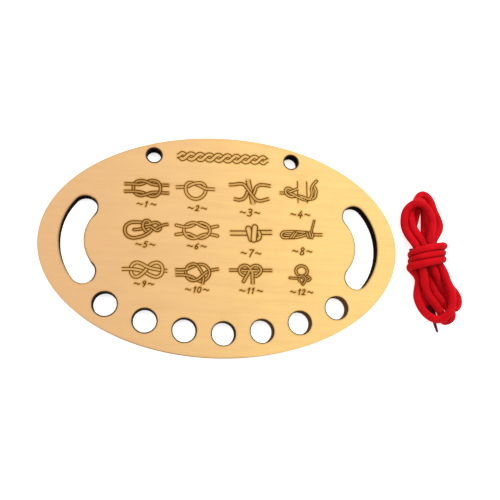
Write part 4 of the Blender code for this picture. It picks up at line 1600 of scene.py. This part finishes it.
@dataclass
class Engraving:
    """Everything burnt into the face: twelve knots, their numbers and a rope twist along the top.

    Its sizes are in mm.
    """

    drawings: tuple[Drawing, ...] = (REEF, OVERHAND, CLOVE, TIMBER, BOWLINE, GRANNY,
                                     DOUBLE, GRIP, EIGHT, SHEET, COW, SLIP)
    line_half: float = 0.42
    digit_half: float = 0.46
    heading_half: float = 0.42
    depth: float = 0.26
    digit_height: float = 4.5
    digit_slant: float = 0.22
    digit_pitch: float = 0.78
    digit_edges: Point2 = (0.30, 0.35)
    digit_steps: int = 8
    dash_length: float = 4.2
    dash_gap: float = 1.9
    dash_swing: float = 0.55
    dash_points: int = 5
    dash_steps: int = 6
    heading_centre: Point2 = (-0.5, 76.0)
    heading_length: float = 78.0
    heading_swing: float = 2.6
    heading_lay: float = 15.6
    heading_width: float = 3.1
    heading_taper: float = 4.0
    heading_points: int = 320
    cap_points: int = 15
    under_margin: float = 0.07
    tight_margin: float = 0.16
    lift_margin: float = 0.12
    own_reach: float = 1.3
    search_step: float = 0.1
    farthest_line: float = 12.0
    stain_reach: float = 1.5
    sample: float = 0.42
    beside: float = 0.22
    point_clear: float = 0.15
    lines: list[tuple[np.ndarray, float]] = field(default_factory=list)
    burnt: LineFinder | None = None
    middles: LineFinder | None = None

    def both_edges(self, line: np.ndarray, width: float, strand: Strand) -> list[tuple[np.ndarray, ...]]:
        """The two edges of a rope and its round ends.

        Args:
            line: The rope's middle line with its lift.
            width: Its width.
            strand: The rope, for the way it stops.

        Returns:
            Points, distance along the rope and lift of each edge.
        """
        middle, lift, run = line[:, :2], line[:, 2], run_lengths(line[:, :2])
        ways, normals = ways_along(middle)
        edges = [(middle + normals * side * width / 2, run, lift) for side in (-1, 1)]
        turn = np.linspace(-math.pi / 2, math.pi / 2, self.cap_points)
        for k, style in ((0, strand.start), (-1, strand.end)):
            if style is RopeEnd.ROUND:
                outward = ways[k] if k else -ways[k]
                cap = (middle[k] + np.outer(np.cos(turn), outward) * width / 2
                       + np.outer(np.sin(turn), normals[k]) * width / 2)
                edges.append((cap, np.full(len(turn), run[k]), np.full(len(turn), lift[k])))
        return edges

    def rope_edges(self, ropes: list[tuple[np.ndarray, float, Strand]]) -> list[np.ndarray]:
        """Both edges of each rope of a drawing, left out where another rope lies over them.

        Args:
            ropes: Middle line with lift, width and strand of each rope.

        Returns:
            The visible lines.
        """
        visible = []
        for index, (line, width, strand) in enumerate(ropes):
            run = run_lengths(line[:, :2])
            for edge, at, lift in self.both_edges(line, width, strand):
                hidden = np.zeros(len(edge), bool)
                for other, (cover, cover_width, _) in enumerate(ropes):
                    apart = np.linalg.norm(edge[:, None] - cover[None, :, :2], axis=2)
                    within = apart < cover_width / 2 - self.under_margin
                    higher = cover[None, :, 2] > lift[:, None] + self.lift_margin
                    if other == index:
                        away = np.abs(run[None] - at[:, None]) > width * self.own_reach
                        tight = within & ~away & (apart < width / 2 - self.tight_margin)
                        hidden |= ((within & higher & away) | tight).any(axis=1)
                    else:
                        level = np.abs(cover[None, :, 2] - lift[:, None]) <= self.lift_margin
                        hidden |= (within & (higher | level)).any(axis=1)
                breaks = np.flatnonzero(hidden[1:] != hidden[:-1]) + 1
                visible += [part for part, under in zip(np.split(edge, breaks), np.split(hidden, breaks))
                            if not under[0] and len(part) > 2]
        return visible

    def heading(self) -> list[np.ndarray]:
        """A two-strand rope twist along the top of the plate.

        Returns:
            Its visible lines.
        """
        half = self.heading_length / 2
        across = np.linspace(-half, half, self.heading_points)
        angle = math.tau * across / self.heading_lay
        taper = np.clip((half - np.abs(across)) / self.heading_taper, 0, 1)
        ropes = []
        for sign in (-1, 1):
            rise = sign * self.heading_swing * np.sin(angle) * taper
            line = np.stack([across + self.heading_centre[0], rise + self.heading_centre[1],
                             sign * np.cos(angle)], axis=1)
            ropes.append((line, self.heading_width, Strand(())))
        return self.rope_edges(ropes)

    def number(self, value: int, centre: Point2, scale: float) -> list[np.ndarray]:
        """A plain number written by hand between two wavy dashes.

        Args:
            value: The number.
            centre: Its middle on the plate.
            scale: Its size against the usual one.

        Returns:
            The strokes.
        """
        height = self.digit_height * scale
        half = self.digit_pitch * (len(str(value)) - 1) / 2
        left, right = self.digit_edges
        strokes = []
        for k, digit in enumerate(str(value)):
            for stroke in DIGITS[digit]:
                points = np.array(stroke) + (-half - left + k * self.digit_pitch, -0.5)
                points[:, 0] += points[:, 1] * self.digit_slant
                strokes.append(smooth_curve(points * height + centre, self.digit_steps))
        inner = (half + right) * height + self.dash_gap
        for side in (-1, 1):
            dash = [(side * (inner + self.dash_length * share),
                     side * self.dash_swing * math.sin(math.tau * share))
                    for share in np.linspace(0.0, 1.0, self.dash_points).tolist()]
            strokes.append(smooth_curve(np.array(dash) + centre, self.dash_steps))
        return strokes

    def prepare(self) -> None:
        """Work out every line once, with its half width, and sort them for searching."""
        middles = []
        for drawing in self.drawings:
            ropes = drawing.ropes()
            middles += [(line[:, :2], (width / 2, drawing.stain)) for line, width, _ in ropes]
            edges = self.rope_edges(ropes)
            strokes = self.number(drawing.number, drawing.label, drawing.label_scale)
            LOG.info("drawing %d: %d lines", drawing.number, len(edges) + len(strokes))
            self.lines += [(line, self.line_half * drawing.boldness) for line in edges]
            self.lines += [(line, self.digit_half) for line in strokes]
        self.lines += [(line, self.heading_half) for line in self.heading()]
        self.burnt = LineFinder([(evenly(line, self.search_step), (half,)) for line, half in self.lines])
        self.middles = LineFinder(middles)

    def nearest(self, places: np.ndarray) -> tuple[np.ndarray, np.ndarray]:
        """Distance in mm to the nearest line, and that line's half width."""
        apart, values = self.burnt.find(places)
        return apart, values[:, 0]

    def stain(self, places: np.ndarray) -> np.ndarray:
        """How brown the smoke has left the face between a rope's two lines, from 0 to 1."""
        apart, values = self.middles.find(places)
        return values[:, 1] * np.clip(self.stain_reach - apart / values[:, 0], 0.0, 1.0)

    def line_distance(self, places: np.ndarray) -> np.ndarray:
        """Distance to the middle of the nearest line, in metres."""
        return self.nearest(places)[0] * MM

    def line_share(self, places: np.ndarray) -> np.ndarray:
        """Distance to the nearest line as a multiple of its half width, up to a limit."""
        apart, half = self.nearest(places)
        return np.clip(apart / half, 0.0, self.farthest_line)

    def depth_at(self, places: np.ndarray) -> np.ndarray:
        """How deep the face is burnt away, in metres."""
        apart, half = self.nearest(places)
        return self.depth * MM * np.clip(1.0 - (apart / half) ** 2, 0.0, 1.0)

    def mesh_points(self) -> np.ndarray:
        """Points along each line, its borders and just outside them, thinned where they crowd.

        Returns:
            The points, in metres.
        """
        rows: list[list[np.ndarray]] = [[], [], []]
        for line, half in self.lines:
            fine = evenly(line, self.sample)
            ways, normals = ways_along(fine)
            rows[0].append(fine)
            for side in (-1, 1):
                rows[1].append(fine + normals * side * half)
                rows[2].append(fine + normals * side * (half + self.beside))
            for k, outward in ((0, -1), (-1, 1)):
                rows[1].append(fine[[k]] + ways[[k]] * outward * half)
        cells: dict[tuple[int, int], list[Point2]] = {}
        taken = []
        clear = self.point_clear
        for row in rows:
            for x, y in np.vstack(row).tolist():
                column, line = int(x / clear // 1), int(y / clear // 1)
                close = any((x - a) ** 2 + (y - b) ** 2 < clear ** 2
                            for i in (-1, 0, 1) for j in (-1, 0, 1)
                            for a, b in cells.get((column + i, line + j), ()))
                if not close:
                    cells.setdefault((column, line), []).append((x, y))
                    taken.append((x, y))
        LOG.info("engraving: %d points on %d lines", len(taken), len(self.lines))
        return np.array(taken) * MM


def main() -> None:
    """Build the camera, the cord, the plate and the studio in turn."""
    logging.basicConfig(level=logging.INFO, format="%(name)s: %(message)s")
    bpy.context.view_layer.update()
    Viewpoint().build()
    Hank().build()
    engraving = Engraving()
    engraving.prepare()
    Plate().build(engraving)
    Studio().build()


if __name__ == "__main__":
    main()
